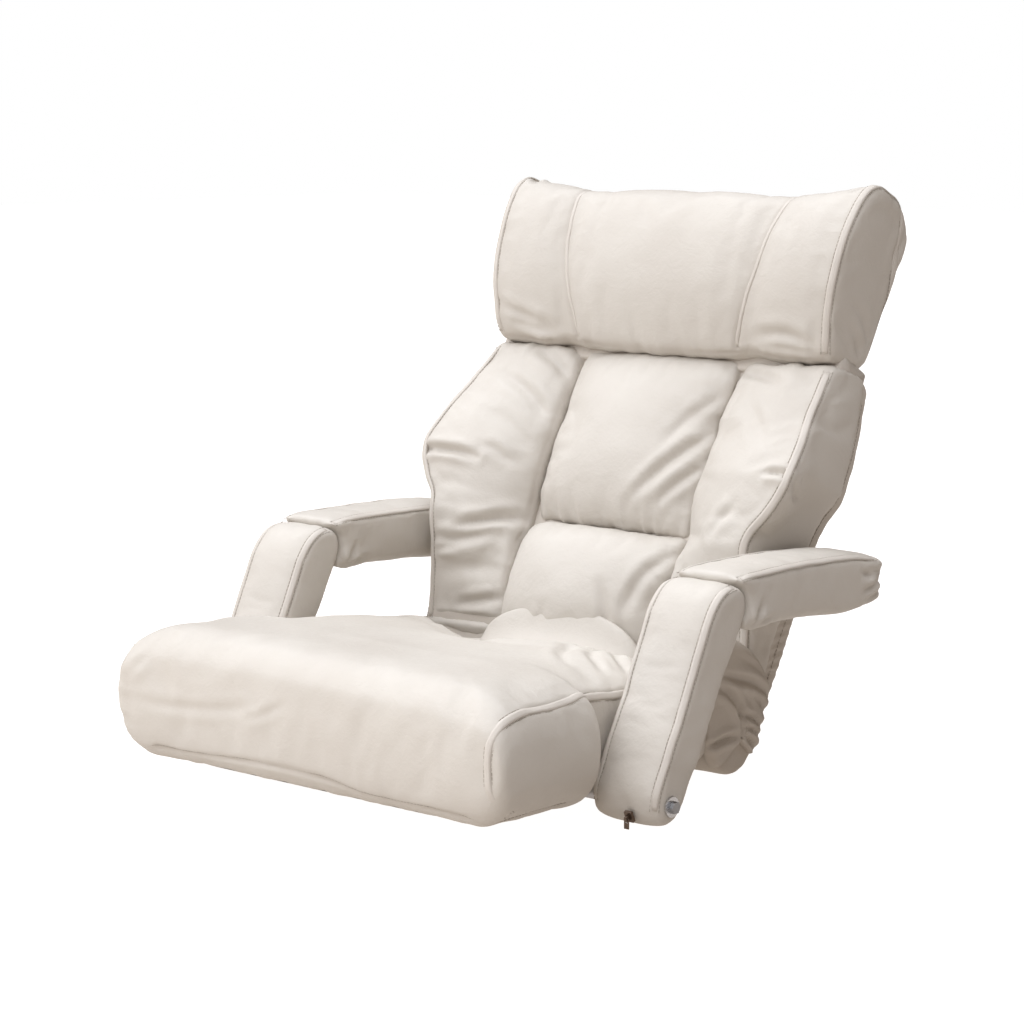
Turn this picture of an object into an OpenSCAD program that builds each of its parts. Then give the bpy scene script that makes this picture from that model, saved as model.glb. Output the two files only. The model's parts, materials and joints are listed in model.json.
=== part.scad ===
// Reclining floor chair with linked armrests and a tilting head cushion.
// Millimetres. +Z is up and the sitter looks along -Y. The origin lies on the floor,
// on the middle plane, below the middle of the seat. "Left" is the -X side.

/* [Seat] */
// Width of the seat in front of the armrests
seat_front_w = 550; // [510:1:560]
// Width of the seat between the armrests
seat_w = 492; // [470:1:496]
// Depth of the seat from the origin to its front
seat_front = 263; // [245:1:290]
// Height of the seat cushion's top edge seam
seat_edge_z = 139; // [124:1:144]
// How far the seat's crown stands above its edge seam
seat_crown = 25; // [15:1:30]
// How far the seat's sides swell out in front of the armrests
seat_swell = 13; // [0:1:14]
// Depth of the sewn channel across the back of the seat
seat_channel = 44; // [20:1:48]
// Thickness of the bottom board
panel_t = 2; // [1.5:0.1:3]

/* [Back] */
// Lean of the back from upright
lean = 27; // [20:1:32]
// Height of the recline axis above the floor
recline_z = 46; // [45:1:52]
// Distance of the recline axis behind the origin
recline_y = 158; // [150:1:165]
// Width of the back where the forearms pass it
back_w = 500; // [480:1:500]
// Width of the back at the shoulders
shoulder_w = 530; // [500:1:536]
// Height of the back along its lean, from the recline axis to the head crease
back_h = 421; // [405:1:440]
// Distance of the back's rear face behind the frame's axis
back_rear = 42; // [36:1:42]
// Largest depth of the side bolsters in front of the frame's axis
bolster_d = 83; // [60:1:86]
// Width over the front edges of the side bolsters, at the shoulders
wing_w = 548; // [510:1:552]
// Width of the two middle pads
pad_w = 232; // [200:2:250]
// Height of the seam between the lumbar pad and the upper pad
pad_seam = 208; // [180:1:230]
// Depth of the middle pads' crown in front of the frame's axis
pad_d = 62; // [40:1:70]

/* [Head cushion] */
// Lean of the head cushion from upright
head_lean = 14; // [10:1:20]
// Height of the head cushion along its own lean
head_h = 200; // [170:1:210]
// How far the head cushion's top corners stand above its middle
head_ear = 9; // [0:1:12]
// Width of the head cushion at its top
head_w = 516; // [480:1:524]
// Width of the head cushion at the crease
head_crease_w = 490; // [470:1:500]
// Distance of the head axis in front of the back frame's axis
head_axis_v = 12; // [8:1:13]

/* [Armrests] */
// Gap between the seat's side and an armrest
arm_gap = 5; // [5:1:14]
// Width of each armrest
arm_w = 91; // [80:1:100]
// Distance between the two pivots of an arm post
link = 212; // [200:1:225]
// Height of the lower arm pivot above the floor
post_z = 28; // [28:1:30]
// Distance of the lower arm pivot in front of the origin
post_y = 73; // [66:1:80]
// Half thickness of the arm posts at the elbow
elbow_r = 26; // [22:1:26]
// Half thickness of the arm posts at their lower end
foot_r = 23; // [20:1:24]
// Height of the forearm's top above the elbow pivot
forearm_up = 30; // [24:1:32]
// Depth of the forearm's underside below the elbow pivot
forearm_down = 25; // [20:1:25]
// How far the forearm reaches behind its rear pivot
forearm_tail = 34; // [25:1:36]

/* [Frames] */
// Outside diameter of the seat and back tubes
tube_d = 19; // [16:0.5:19]
// Wall of the tubes
tube_wall = 1.2; // [1:0.1:2]
// How far in from the back's sides the frame's side tubes run
tube_inset = 45; // [44:1:55]
// Outside diameter of the head frame's tube
head_tube_d = 16; // [13:0.5:16]
// Bend radius of the tubes
bend_r = 50; // [40:1:60]
// Thickness of the armrests' flat bars
bar_t = 6; // [5:0.1:7]
// Width of the armrests' flat bars
bar_w = 20; // [16:1:22]
// Diameter of the arm pivots
pin_d = 8; // [6:0.5:9]
// Thickness of the elastic webbing
web_t = 1.5; // [1:0.1:1.8]
// Width of each webbing belt
web_w = 44; // [30:1:46]

/* [Ratchet hinges] */
// Angle between two steps of the recline hinge
recline_step = 9; // [9:1:9]
// Steps that the back tilts forward from here
steps_forward = 1; // [1:1:1]
// Steps that the back tilts back from here, down to flat
steps_back = 7; // [6:1:7]
// Tip radius of the recline hinge's teeth
recline_tip_r = 22; // [20:0.5:23]
// Angle between two steps of the head hinge
head_step = 13; // [13:1:13]
// Tip radius of the head hinge's teeth
head_tip_r = 11.5; // [11:0.25:12]
// Depth of the ratchet teeth
tooth_h = 2.6; // [2:0.1:3]
// Thickness of the toothed plates and pawls
plate_t = 6; // [5:0.1:7]
// Thickness of the cheek plates
cheek_t = 2.5; // [2:0.1:3]
// Diameter of the recline hinge's rivet
rivet_d = 10; // [8:0.5:11]
// Diameter of the head hinge's rivet
head_rivet_d = 7; // [6:0.5:8]
// Diameter of the pawls' rivets
pawl_rivet_d = 4.5; // [4:0.5:5]

/* [Clearances] */
// Play around a turning pin, on the radius
running = 0.05; // [0.02:0.01:0.1]
// Play around the pin at the forearm's rear pivot, on the radius
open_play = 0.3; // [0.2:0.05:0.5]
// Gap between plates that slide past each other
side_gap = 0.6; // [0.4:0.1:0.8]
// Gap between pieces that rest on one another
seat_gap = 0.3; // [0.1:0.1:0.4]
// Gap between soft pieces that move past each other
soft_gap = 1; // [0.6:0.1:1.5]

/* [Hidden] */
$fn = 64;

LEATHER = [0.87, 0.83, 0.75];
LEATHER_SHADE = [0.80, 0.75, 0.66];
LINING = [0.72, 0.70, 0.66];
STEEL = [0.45, 0.46, 0.48];
ZINC = [0.74, 0.75, 0.76];
WEB = [0.16, 0.16, 0.17];
BRASS = [0.30, 0.22, 0.16];

// The four corners of the arm linkage, as [y, z]. It is a parallelogram.
post_pivot = [-post_y, post_z];
elbow = post_pivot + link * [sin(lean), cos(lean)];
recline = [recline_y, recline_z];
rear_pivot = recline + (elbow - post_pivot);

tube_r = tube_d / 2;
tube_x = back_w / 2 - tube_inset;
arm_in = seat_w / 2 + arm_gap;
head_tube_r = head_tube_d / 2;
pin_r = pin_d / 2;
arm_out = arm_in + arm_w;

// Layers of the seat, from the floor up
seat_tube_z = post_z;
skirt_lift = 3.5;
base_top = seat_tube_z - tube_r - seat_gap;
frame_top = seat_tube_z + tube_r + web_t + seat_gap;
seat_bottom = base_top + skirt_lift;
seat_skirt = tube_x + tube_r + 8;
seat_wide_end = -(post_y + foot_r + 6);
seat_rear = recline_y - back_rear - 6 * soft_gap;
seat_reach = 12;
base_inside = tube_r + web_t + 13;
base_back = 113;
base_corner = 20;
rear_roll = back_rear + 2 * soft_gap;

// Layers of the back, in its own plane: x, v behind the frame's axis, w up the lean
frame_half = tube_r + web_t + seat_gap;
head_axis_w = back_h + 2;
head_axis = recline + [
    head_axis_w * sin(lean) - head_axis_v * cos(lean),
    head_axis_w * cos(lean) + head_axis_v * sin(lean)
];
back_crease_rear = 20;
waist = 6;
tray_wall = 14;
tray_front = frame_half - 1;
hinge_slot = [tube_x - 17, tube_x + 17];

// Hinge plates, across
hinge_gap = plate_t + 2 * side_gap;
cheek_x = [tube_x - hinge_gap / 2 - cheek_t, tube_x + hinge_gap / 2];
stem_w = 14;

// Recline hinge, as [y, z] from its axis
tongue = [100, seat_tube_z] - recline;
recline_root_r = recline_tip_r - tooth_h;
recline_cheek_r = recline_tip_r + 2;
recline_nose_dir = 150;
recline_pawl_at = polar(recline_tip_r + 12, 178);
pawl_boss_r = 4.5;
nose_play = 1.3;
spring_post_at = recline_pawl_at + polar(8.5, 150);
spring_post_r = 2;
spring_t = 0.8;
recline_release = 11;
back_stem = 62;
back_tube_start = recline_cheek_r + 8;

// Head hinge, as [v, w] from its axis
head_root_r = head_tip_r - tooth_h;
head_cheek_r = head_tip_r + 1.5;
head_nose_dir = 248;
head_pawl_at = polar(head_tip_r + 11, 282);
head_release = 11;
head_drop = 50;
head_stem = 40;
head_tube_start = head_cheek_r + 4;
head_frame_h = head_h - 50;
head_turn = lean - head_lean;

// Armrest bars and pads, across
post_bar_x = arm_in + arm_w / 2 - bar_t - 2.5;
forearm_bar_x = post_bar_x + bar_t + 1;
sleeve_r = 8;
washer_r = 10.5;
washer_t = 1.5;
bolt_head_h = 5;
pin_head_r = 7;
pin_head_t = 2.5;
pad_bulge = 1;

// Zip slider on the front of a post's foot
zip_x = arm_in + 56;
zip_dir = 205;
slider_t = 3.5;
slider_w = 9;
pull_l = 10;
pull_t = 1.2;
pull_w = 6;
pull_at = post_pivot + polar(foot_r + pad_bulge + slider_t + 3.5, zip_dir);

function polar(r, a) = [r * cos(a), r * sin(a)];
function mean(list, i = 0, total = [0, 0, 0]) =
    i == len(list) ? total / len(list) : mean(list, i + 1, total + list[i]);

// How far a round edge of radius r has dropped at distance d from its end
function roll(d, r) = d >= r ? 0 : r - sqrt(max(0, r * r - pow(r - d, 2)));
function bump(d, width) = exp(-pow(d / width, 2));

// The outline moved inwards by d. The points run anticlockwise.
function inset(outline, d) = [
    for (i = [0 : len(outline) - 1])
        let (
            n = len(outline),
            a = outline[(i + n - 1) % n],
            b = outline[(i + 1) % n],
            t = (b - a) / max(0.001, norm(b - a))
        )
        outline[i] + d * [-t[1], t[0]]
];

// A closed skin over rings that have the same number of points
module loft(rings, flip = false) {
    n = len(rings[0]);
    last = len(rings) - 1;
    points = concat([for (ring = rings) each ring], [mean(rings[0]), mean(rings[last])]);
    head = len(points) - 2;
    sides = [
        for (j = [0 : last - 1], i = [0 : n - 1])
            let (a = j * n + i, b = j * n + (i + 1) % n, c = b + n, d = a + n)
            each [[a, b, c], [a, c, d]]
    ];
    caps = [
        for (i = [0 : n - 1])
            let (k = (i + 1) % n)
            each [[head, k, i], [head + 1, last * n + i, last * n + k]]
    ];
    faces = concat(sides, caps);
    polyhedron(points, flip ? [for (f = faces) [f[2], f[1], f[0]]] : faces);
}

// A soft slab: an outline in [y, z] carried along x through stations [x, inset]
module soft_slab(outline, stations) {
    loft([for (s = stations) [for (p = inset(outline, s[1])) [s[0], p[0], p[1]]]], flip = true);
}

module right_or_left(side) {
    if (side > 0) children();
    else mirror([1, 0, 0]) children();
}

// Draws a [y, z] shape and carries it along x
module along_x(x0, x1) {
    translate([x0, 0, 0]) rotate([90, 0, 90]) linear_extrude(x1 - x0) children();
}

module disc_x(x0, x1, at, r) {
    along_x(x0, x1) translate(at) circle(r);
}

module on_back() {
    translate([0, recline[0], recline[1]]) rotate([-lean, 0, 0]) children();
}

module on_head() {
    translate([0, head_axis[0], head_axis[1]]) rotate([-head_lean, 0, 0]) children();
}

module at_head_axis() {
    translate([0, -head_axis_v, head_axis_w]) children();
}

module rod(a, b, r) {
    d = b - a;
    translate(a) rotate([0, acos(d[2] / norm(d)), atan2(d[1], d[0])]) cylinder(h = norm(d), r = r);
}

// Two rounds joined by their outer tangents
module strap(a, ra, b, rb) {
    d = b - a;
    open = acos((ra - rb) / norm(d));
    along = atan2(d[1], d[0]);
    translate(a) circle(ra);
    translate(b) circle(rb);
    polygon([a + polar(ra, along + open), a + polar(ra, along - open),
             b + polar(rb, along - open), b + polar(rb, along + open)]);
}

/* Tube frames */

module seat_tube(r, end) {
    corner = tube_x - bend_r;
    front = -seat_front + 33;
    for (side = [-1, 1]) {
        rod([side * tube_x, front + bend_r, seat_tube_z], [side * tube_x, end, seat_tube_z], r);
        translate([side * corner, front + bend_r, seat_tube_z])
            rotate(side > 0 ? -90 : 180) rotate_extrude(angle = 90) translate([bend_r, 0]) circle(r);
    }
    rod([-corner, front, seat_tube_z], [corner, front, seat_tube_z], r);
}

seat_cross_y = 62;

module seat_frame() {
    color(STEEL) {
        difference() {
            union() {
                seat_tube(tube_r, recline_y + tongue[0]);
                rod([-tube_x, seat_cross_y, seat_tube_z], [tube_x, seat_cross_y, seat_tube_z], tube_r);
            }
            seat_tube(tube_r - tube_wall, recline_y + tongue[0] - 16);
            for (side = [-1, 1]) right_or_left(side) {
                disc_x(tube_x - 15, tube_x + 15, post_pivot, pin_r + running);
                // Flattened end that the cheek plates clasp
                for (x = [tube_x - 20, cheek_x[1]])
                    translate([x, recline_y + tongue[0] - 14, 0])
                        cube([20 - hinge_gap / 2, 30, 60]);
            }
        }
    }
}

// An elastic belt from side tube to side tube, looped round each, with its strand on the +y side
module belt_profile() {
    bore = tube_r + running;
    for (side = [-1, 1])
        translate([side * tube_x, 0]) difference() {
            circle(bore + web_t);
            circle(bore);
        }
    translate([-tube_x, bore]) square([2 * tube_x, web_t]);
}

module seat_webbing() {
    color(WEB)
        for (s = [0.59, 0.4, 0.133, -0.095])
            translate([0, -s * seat_front, seat_tube_z]) rotate([90, 0, 0])
                linear_extrude(web_w, center = true) belt_profile();
}

/* Seat */

function seat_half(y) =
    let (d = y + seat_front, wide = seat_front_w / 2 - 0.5 * roll(d, 16), s = (y - seat_wide_end) / 24)
    s >= 0 ? seat_w / 2 : s <= -1 ? wide : seat_w / 2 + (wide - seat_w / 2) * sqrt(1 - pow(1 + s, 2));

function seat_edge(y) =
    seat_edge_z - 0.8 * roll(y + seat_front, 36) - 0.1 * max(0, y + 150) - 0.0004 * pow(max(0, y), 2);

function seat_low(y) = seat_bottom + 1.5 * roll(y + seat_front, 20);

function channel_y(x) = 81 + 42 * pow(min(1, abs(x) / 105), 2);

function seat_top(x, y) =
    let (
        s = min(1, abs(x) / seat_half(y)),
        crown = seat_crown * (1 - pow(s, 8)) * (1 - 0.35 * pow(bump(y + seat_front, 30), 2)),
        deep = seat_channel * max(0, 1 - pow(x / 165, 2))
            * bump(y - channel_y(x), y < channel_y(x) ? 20 : 30)
    )
    seat_edge(y) + crown - deep;

// The rear face stands off the back's lower roll and reaches back above it
function seat_back_to(y, z) =
    y + seat_reach * min(1, max(0, (z - recline_z - 4) / 35)) * (y > 60 ? (y - 60) / (seat_rear - 60) : 0);

function seat_ring(y) =
    let (
        h = seat_half(y),
        low = seat_low(y),
        edge = seat_edge(y),
        swell = seat_swell * min(1, max(0, (h - seat_w / 2) / 8)),
        side = [
            for (p = [[-30, 0, 0], [-14, 0.05, 0], [-4, 0.15, 0.3], [0, 0.32, 0.8], [0, 0.54, 1],
                      [-1, 0.76, 0.9], [-3, 0.92, 0.5], [-5, 1.01, 0]])
                [h + p[0] + swell * p[2], low + p[1] * (edge - low)]
        ],
        top = [for (s = [0.95, 0.86, 0.74, 0.6, 0.48, 0.37, 0.26, 0.16, 0.07]) [s * h, seat_top(s * h, y)]],
        right = concat(side, top)
    )
    concat(
        [for (p = right) [p[0], seat_back_to(y, p[1]), p[1]]],
        [[0, seat_back_to(y, seat_top(0, y)), seat_top(0, y)]],
        [for (i = [len(right) - 1 : -1 : 0]) let (p = right[i]) [-p[0], seat_back_to(y, p[1]), p[1]]]
    );

seat_rows = concat(
    [for (a = [0 : 15 : 75]) -seat_front + 30 * (1 - cos(a))],
    [-220, -190, -160, -137],
    [for (s = [1, 0.8, 0.55, 0.25, 0]) seat_wide_end - 24 * s],
    [-80, -40, 0, 25, 42, 54, 64, 72, 80, 88, 97, seat_rear - 6, seat_rear]
);

module seat_cushion() {
    color(LEATHER)
        difference() {
            loft([for (y = seat_rows) seat_ring(y)], flip = true);
            // Room for the frame
            translate([-seat_skirt, -seat_front + 18, 0])
                cube([2 * seat_skirt, 500, frame_top]);
            // Room for the hinge plates
            for (side = [-1, 1]) right_or_left(side)
                translate([hinge_slot[0], 70, 0]) cube([34, 100, recline_z + recline_cheek_r + 5]);
            // Bolts of the armrests
            disc_x(-300, 300, post_pivot, sleeve_r + seat_gap);
        }
}

// The board and the foam sheet lie between the side tubes, out of sight. The cross tube rests on them.
module base_outline(shrink) {
    half = tube_x - base_inside - shrink;
    front = -seat_front + base_back + shrink;
    hull() {
        for (side = [-1, 1]) translate([side * (half - base_corner), front + base_corner]) circle(base_corner);
        translate([-half, 0]) square([2 * half, recline_y - back_rear + 6 - shrink]);
    }
}

module seat_base_pad() {
    color(LEATHER_SHADE)
        difference() {
            translate([0, 0, panel_t]) linear_extrude(base_top - panel_t) base_outline(0);
            disc_x(-300, 300, recline, rear_roll);
        }
}

module seat_base_panel() {
    color(LINING) linear_extrude(panel_t) base_outline(8);
}

/* Ratchet hinges, drawn in a plane with the axis at the origin */

// A toothed plate: teeth stand half a step either side of each locked place
module toothed(tip_r, root_r, step, nose_dir, from, to, bore_r) {
    difference() {
        union() {
            circle(root_r);
            polygon(concat([[0, 0]], [
                for (k = [from : to + 1])
                    let (a = nose_dir + (k - 0.5) * step)
                    each [polar(root_r, a - 0.32 * step), polar(tip_r, a - 0.14 * step),
                          polar(tip_r, a + 0.14 * step), polar(root_r, a + 0.32 * step)]
            ]));
            children();
        }
        circle(bore_r);
    }
}

// A pawl whose nose fills the gap at nose_dir, then turned clear by release
module pawl_shape(at, tip_r, root_r, step, nose_dir, release) {
    knee = polar(tip_r + 2.6, nose_dir);
    translate(at) rotate(release) translate(-at)
        difference() {
            union() {
                strap(at, pawl_boss_r, knee, 1.9);
                polygon([
                    polar(root_r + nose_play, nose_dir + 0.04 * step),
                    polar(root_r + nose_play, nose_dir - 0.04 * step),
                    knee + polar(1.3, nose_dir - 82), knee + polar(1.3, nose_dir + 82)
                ]);
            }
            translate(at) circle(pawl_rivet_d / 2 + running);
        }
}

module recline_cheek() {
    strap([0, 0], recline_cheek_r, tongue, tube_r);
    strap(recline_pawl_at, 12, tongue, tube_r);
    strap([0, 0], recline_cheek_r, recline_pawl_at, 12);
}

module recline_plates(side) {
    color(ZINC) right_or_left(side)
        for (x = cheek_x)
            along_x(x, x + cheek_t) translate(recline) difference() {
                recline_cheek();
                circle(rivet_d / 2 + running);
                translate(recline_pawl_at) circle(pawl_rivet_d / 2 + running);
                translate(spring_post_at) circle(spring_post_r + running);
            }
}

// A headed pin through the cheek plates
module hinge_rivet(at, r, head) {
    disc_x(cheek_x[0] - head, cheek_x[1] + cheek_t + head, at, r);
    disc_x(cheek_x[0] - head, cheek_x[0] - 0.1, at, r + head);
    disc_x(cheek_x[1] + cheek_t + 0.1, cheek_x[1] + cheek_t + head, at, r + head);
}

module recline_rivets(side) {
    color(ZINC) right_or_left(side) {
        hinge_rivet(recline, rivet_d / 2, 2.5);
        hinge_rivet(recline + recline_pawl_at, pawl_rivet_d / 2, 1.5);
        hinge_rivet(recline + spring_post_at, spring_post_r, 1);
    }
}

// A flat spring, curled round its post, whose leg lies behind the pawl
module recline_pawl_spring(side) {
    mid = spring_post_r + running + spring_t / 2;
    tip = recline_pawl_at + polar(9, 41 + recline_release) + polar(3.6 + spring_t / 2, 131 + recline_release);
    color(ZINC) right_or_left(side)
        along_x(tube_x - plate_t / 2, tube_x + plate_t / 2) translate(recline) difference() {
            union() {
                translate(spring_post_at) circle(mid + spring_t / 2);
                strap(spring_post_at + polar(mid, 110), spring_t / 2, tip, spring_t / 2);
            }
            translate(spring_post_at) circle(mid - spring_t / 2);
        }
}

module recline_pawl(side) {
    color(STEEL) right_or_left(side)
        along_x(tube_x - plate_t / 2, tube_x + plate_t / 2) translate(recline)
            pawl_shape(recline_pawl_at, recline_tip_r, recline_root_r, recline_step,
                       recline_nose_dir, recline_release);
}

module recline_sector(side) {
    color(ZINC) right_or_left(side)
        along_x(tube_x - plate_t / 2, tube_x + plate_t / 2) translate(recline)
            toothed(recline_tip_r, recline_root_r, recline_step, recline_nose_dir,
                    -steps_forward, steps_back, rivet_d / 2 + running)
                rotate(90 - lean) translate([0, -stem_w / 2]) square([back_stem, stem_w]);
}

/* Back */

back_tube_top = head_axis_w - head_drop;

module back_frame() {
    wall = tube_r - tube_wall;
    color(STEEL) on_back()
        difference() {
            union() {
                for (side = [-1, 1])
                    rod([side * tube_x, 0, back_tube_start], [side * tube_x, 0, back_tube_top + 12], tube_r);
                for (w = [76, back_h - 82])
                    rod([-tube_x, 0, w], [tube_x, 0, w], tube_r);
            }
            for (side = [-1, 1]) right_or_left(side) {
                rod([tube_x, 0, back_tube_start - 1], [tube_x, 0, back_tube_top - 12], wall);
                // Slot for the toothed plate's stem
                translate([tube_x - plate_t / 2 - running, -20, 0])
                    cube([plate_t + 2 * running, 40, back_stem + 1]);
                disc_x(tube_x - 15, tube_x + 15, [0, link], 6 + running);
                // Flattened end that the head hinge's cheek plates clasp
                for (x = [tube_x - 20, cheek_x[1]])
                    translate([x, -20, back_tube_top - 10]) cube([20 - hinge_gap / 2, 40, 40]);
            }
        }
}

module back_webbing() {
    color(WEB) on_back()
        for (s = [0.285, 0.414, 0.608, 0.727])
            translate([0, 0, s * back_h]) linear_extrude(web_w, center = true) mirror([0, 1]) belt_profile();
}

function half_width(w) =
    w < 200 ? back_w / 2 - waist :
    w < 250 ? back_w / 2 - waist * (250 - w) / 50 :
    w < 262 ? back_w / 2 :
    w < 290 ? back_w / 2 + (shoulder_w - back_w) / 2 * (w - 262) / 28 :
    w < 340 ? shoulder_w / 2 :
    shoulder_w / 2 - (shoulder_w - head_crease_w) / 2 * (w - 340) / (back_h - 340);

// How far the rear cover reaches to the front and to the rear of the frame's axis
function cover_front(w) = max(tray_front, w < back_rear ? sqrt(max(0, back_rear * back_rear - w * w)) : 0);
function cover_rear(w) =
    w < 0 ? sqrt(back_rear * back_rear - w * w) :
    back_rear - (back_rear - back_crease_rear) * pow(max(0, (w - 262) / (back_h - 262)), 2)
        - roll(back_h - w, 9);

function cover_ring(w) =
    let (
        x1 = half_width(w),
        f = min(cover_front(w), w < 0 ? cover_rear(w) : back_rear),
        r = cover_rear(w),
        c = min(7, (f + r) / 4)
    )
    [[-x1 + c, r, w], [0, r, w], [x1 - c, r, w], [x1 - c / 4, r - c / 3, w], [x1, r - c, w], [x1, c - f, w],
     [x1 - c / 2, -f, w], [0, -f, w], [-x1 + c / 2, -f, w], [-x1, c - f, w], [-x1, r - c, w],
     [-x1 + c / 4, r - c / 3, w]];

cover_rows = concat(
    [for (a = [12 : 13 : 90]) -back_rear * cos(a)],
    [for (a = [0 : 12 : 72]) back_rear * sin(a)],
    [back_rear, 80, 140, 200, 262, 276, 290, 315, 340, 370, 395, back_h - 9, back_h - 5, back_h - 2, back_h]
);

module back_rear_cover() {
    edge = back_w / 2;
    inner = edge - tray_wall;
    color(LEATHER_SHADE) on_back()
        difference() {
            loft([for (w = cover_rows) cover_ring(w)]);
            // Room for the frame, open to the front
            translate([-inner, -60, back_rear + 2])
                cube([2 * inner, 60 + frame_half, back_h - back_rear - 12]);
            // Room for the hinges
            for (side = [-1, 1]) right_or_left(side) {
                translate([hinge_slot[0], -60, -60]) cube([34, 60 + recline_cheek_r + 3, 140]);
                translate([hinge_slot[0], -60, back_h - 40]) cube([34, 60 + frame_half, 60]);
                disc_x(inner - 5, edge + 20, [0, link], 6.5);
            }
        }
}

// Half width over a bolster's front edge, which swells out above the forearm
function wing_half(w) =
    let (waist_half = back_w / 2, out = (wing_w - back_w) / 2)
    max(half_width(w) - 4, lookup(w, [
        [200, 0], [217, waist_half], [234, waist_half + 0.46 * out], [255, waist_half + 0.88 * out],
        [277, waist_half + out], [300, waist_half + 0.93 * out], [345, waist_half + 0.6 * out], [back_h, 0]
    ]));

// Depth of a bolster's outer edge in front of the frame's axis
function bolster_edge(w) =
    lookup(w, [[58, 16], [83, 17], [140, 0.53 * bolster_d], [190, 0.9 * bolster_d], [234, 0.96 * bolster_d],
               [277, bolster_d], [345, 0.74 * bolster_d], [back_h, 36]]);

function bolster_inner(w) =
    frame_half + 10
        + 18 * (1 - bump(w - 58, 50)) * (1 - bump(w - back_h, 40)) * (1 - 0.7 * bump(w - pad_seam, 22));

function bolster_ring(w) =
    let (
        x0 = pad_w / 2 + seat_gap,
        x1 = wing_half(w),
        x2 = half_width(w),
        deep = bolster_edge(w),
        shallow = min(deep, bolster_inner(w)),
        back = frame_half + seat_gap
    )
    concat(
        [[x0, -back, w], [x2 - 2, -back, w], [x2 + 0.1 * (x1 - x2), -back - 0.3 * (deep - back), w],
         [x2 + 0.8 * (x1 - x2), -back - 0.7 * (deep - back), w],
         [x1 - 3, -deep + 3, w], [x1 - 13, -deep - 1, w]],
        [for (s = [0.8, 0.6, 0.4, 0.22, 0.1])
            [x0 + s * (x1 - 13 - x0), -(shallow + (deep - shallow) * sin(90 * pow(s, 0.9))), w]],
        [[x0 + 1, -shallow + 3, w]]
    );

module side_bolster(side) {
    rows = [58, 66, 80, 100, 125, 150, 172, 190, 204, 219, 234, 250, 264, 277, 295, 318, 345, 375, 398, 412,
            419, back_h];
    back = frame_half + seat_gap;
    color(LEATHER) on_back() right_or_left(side)
        difference() {
            loft([for (w = rows)
                let (ring = bolster_ring(w), thin = back + 2,
                     trim = max(0, roll(w - 58, 10), roll(back_h - w, 8)))
                [for (i = [0 : len(ring) - 1])
                    let (p = ring[i])
                    [p[0], i < 2 ? p[1] : min(-thin, p[1] + trim), p[2]]]]);
            at_head_axis() disc_x(hinge_slot[0], hinge_slot[1], [0, 0], head_cheek_r + 1.5);
            translate([hinge_slot[0], -head_axis_v - head_cheek_r, back_tube_top - 12]) cube([34, 60, 90]);
        }
}

// A middle pad between two heights, with a crown and its corners drawn in
function pad_ring(w, low, high, deep) =
    let (
        t = (w - low) / (high - low),
        rise = pow(max(0, 4 * t * (1 - t)), 0.45),
        x1 = pad_w / 2 - 5 * pow(1 - rise, 1.5),
        back = frame_half + seat_gap,
        rim = 12
    )
    concat(
        [[-x1, -back, w], [x1, -back, w]],
        [for (s = [1, 0.93, 0.8, 0.6, 0.35, 0, -0.35, -0.6, -0.8, -0.93, -1])
            [s * x1, -(back + rim * min(1, 0.35 + rise) + (deep - back - rim) * rise * pow(1 - s * s, 0.5)), w]]
    );

module middle_pad(low, high, deep) {
    color(LEATHER) on_back()
        loft([for (t = [0, 0.02, 0.07, 0.15, 0.27, 0.42, 0.58, 0.73, 0.85, 0.93, 0.98, 1])
            pad_ring(low + t * (high - low), low, high, deep)]);
}

module upper_pad() { middle_pad(pad_seam + seat_gap, back_h, pad_d - 4); }

module lumbar_pad() { middle_pad(60, pad_seam - seat_gap, pad_d + 8); }

module head_plates(side) {
    color(ZINC) on_back() right_or_left(side)
        for (x = cheek_x)
            along_x(x, x + cheek_t) difference() {
                union() {
                    strap([-head_axis_v, head_axis_w], head_cheek_r, [0, back_tube_top - 2], 8);
                    translate([-head_axis_v, head_axis_w]) strap([0, 0], head_cheek_r, head_pawl_at, 5.5);
                }
                translate([-head_axis_v, head_axis_w]) {
                    circle(head_rivet_d / 2 + running);
                    translate(head_pawl_at) circle(pawl_rivet_d / 2 + running);
                }
            }
}

module head_rivets(side) {
    color(ZINC) on_back() right_or_left(side) {
        hinge_rivet([-head_axis_v, head_axis_w], head_rivet_d / 2, 2);
        hinge_rivet([-head_axis_v, head_axis_w] + head_pawl_at, pawl_rivet_d / 2, 1.5);
    }
}

module arm_rear_pin(side) {
    step_x = forearm_bar_x - seat_gap;
    color(ZINC) on_back() right_or_left(side) {
        disc_x(tube_x - 12, step_x, [0, link], 6);
        disc_x(step_x, forearm_bar_x + bar_t + seat_gap + pin_head_t, [0, link], pin_r);
        disc_x(forearm_bar_x + bar_t + seat_gap, forearm_bar_x + bar_t + seat_gap + pin_head_t, [0, link],
               pin_head_r);
    }
}

module head_pawl(side) {
    color(STEEL) on_back() right_or_left(side) at_head_axis()
        along_x(tube_x - plate_t / 2, tube_x + plate_t / 2)
            pawl_shape(head_pawl_at, head_tip_r, head_root_r, head_step, head_nose_dir, head_release);
}

/* Head cushion */

module head_tube(r) {
    corner = tube_x - bend_r;
    top = head_frame_h - bend_r;
    for (side = [-1, 1]) right_or_left(side) {
        rod([tube_x, 0, head_tube_start], [tube_x, 0, top], r);
        translate([corner, 0, top]) rotate([90, 0, 0])
            rotate_extrude(angle = 90) translate([bend_r, 0]) circle(r);
    }
    rod([-corner, 0, head_frame_h], [corner, 0, head_frame_h], r);
}

module head_frame() {
    color(STEEL) on_head()
        difference() {
            head_tube(head_tube_r);
            head_tube(head_tube_r - tube_wall);
            for (side = [-1, 1])
                translate([side * tube_x - plate_t / 2 - running, -20, 0])
                    cube([plate_t + 2 * running, 40, head_stem + 1]);
        }
}

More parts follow.
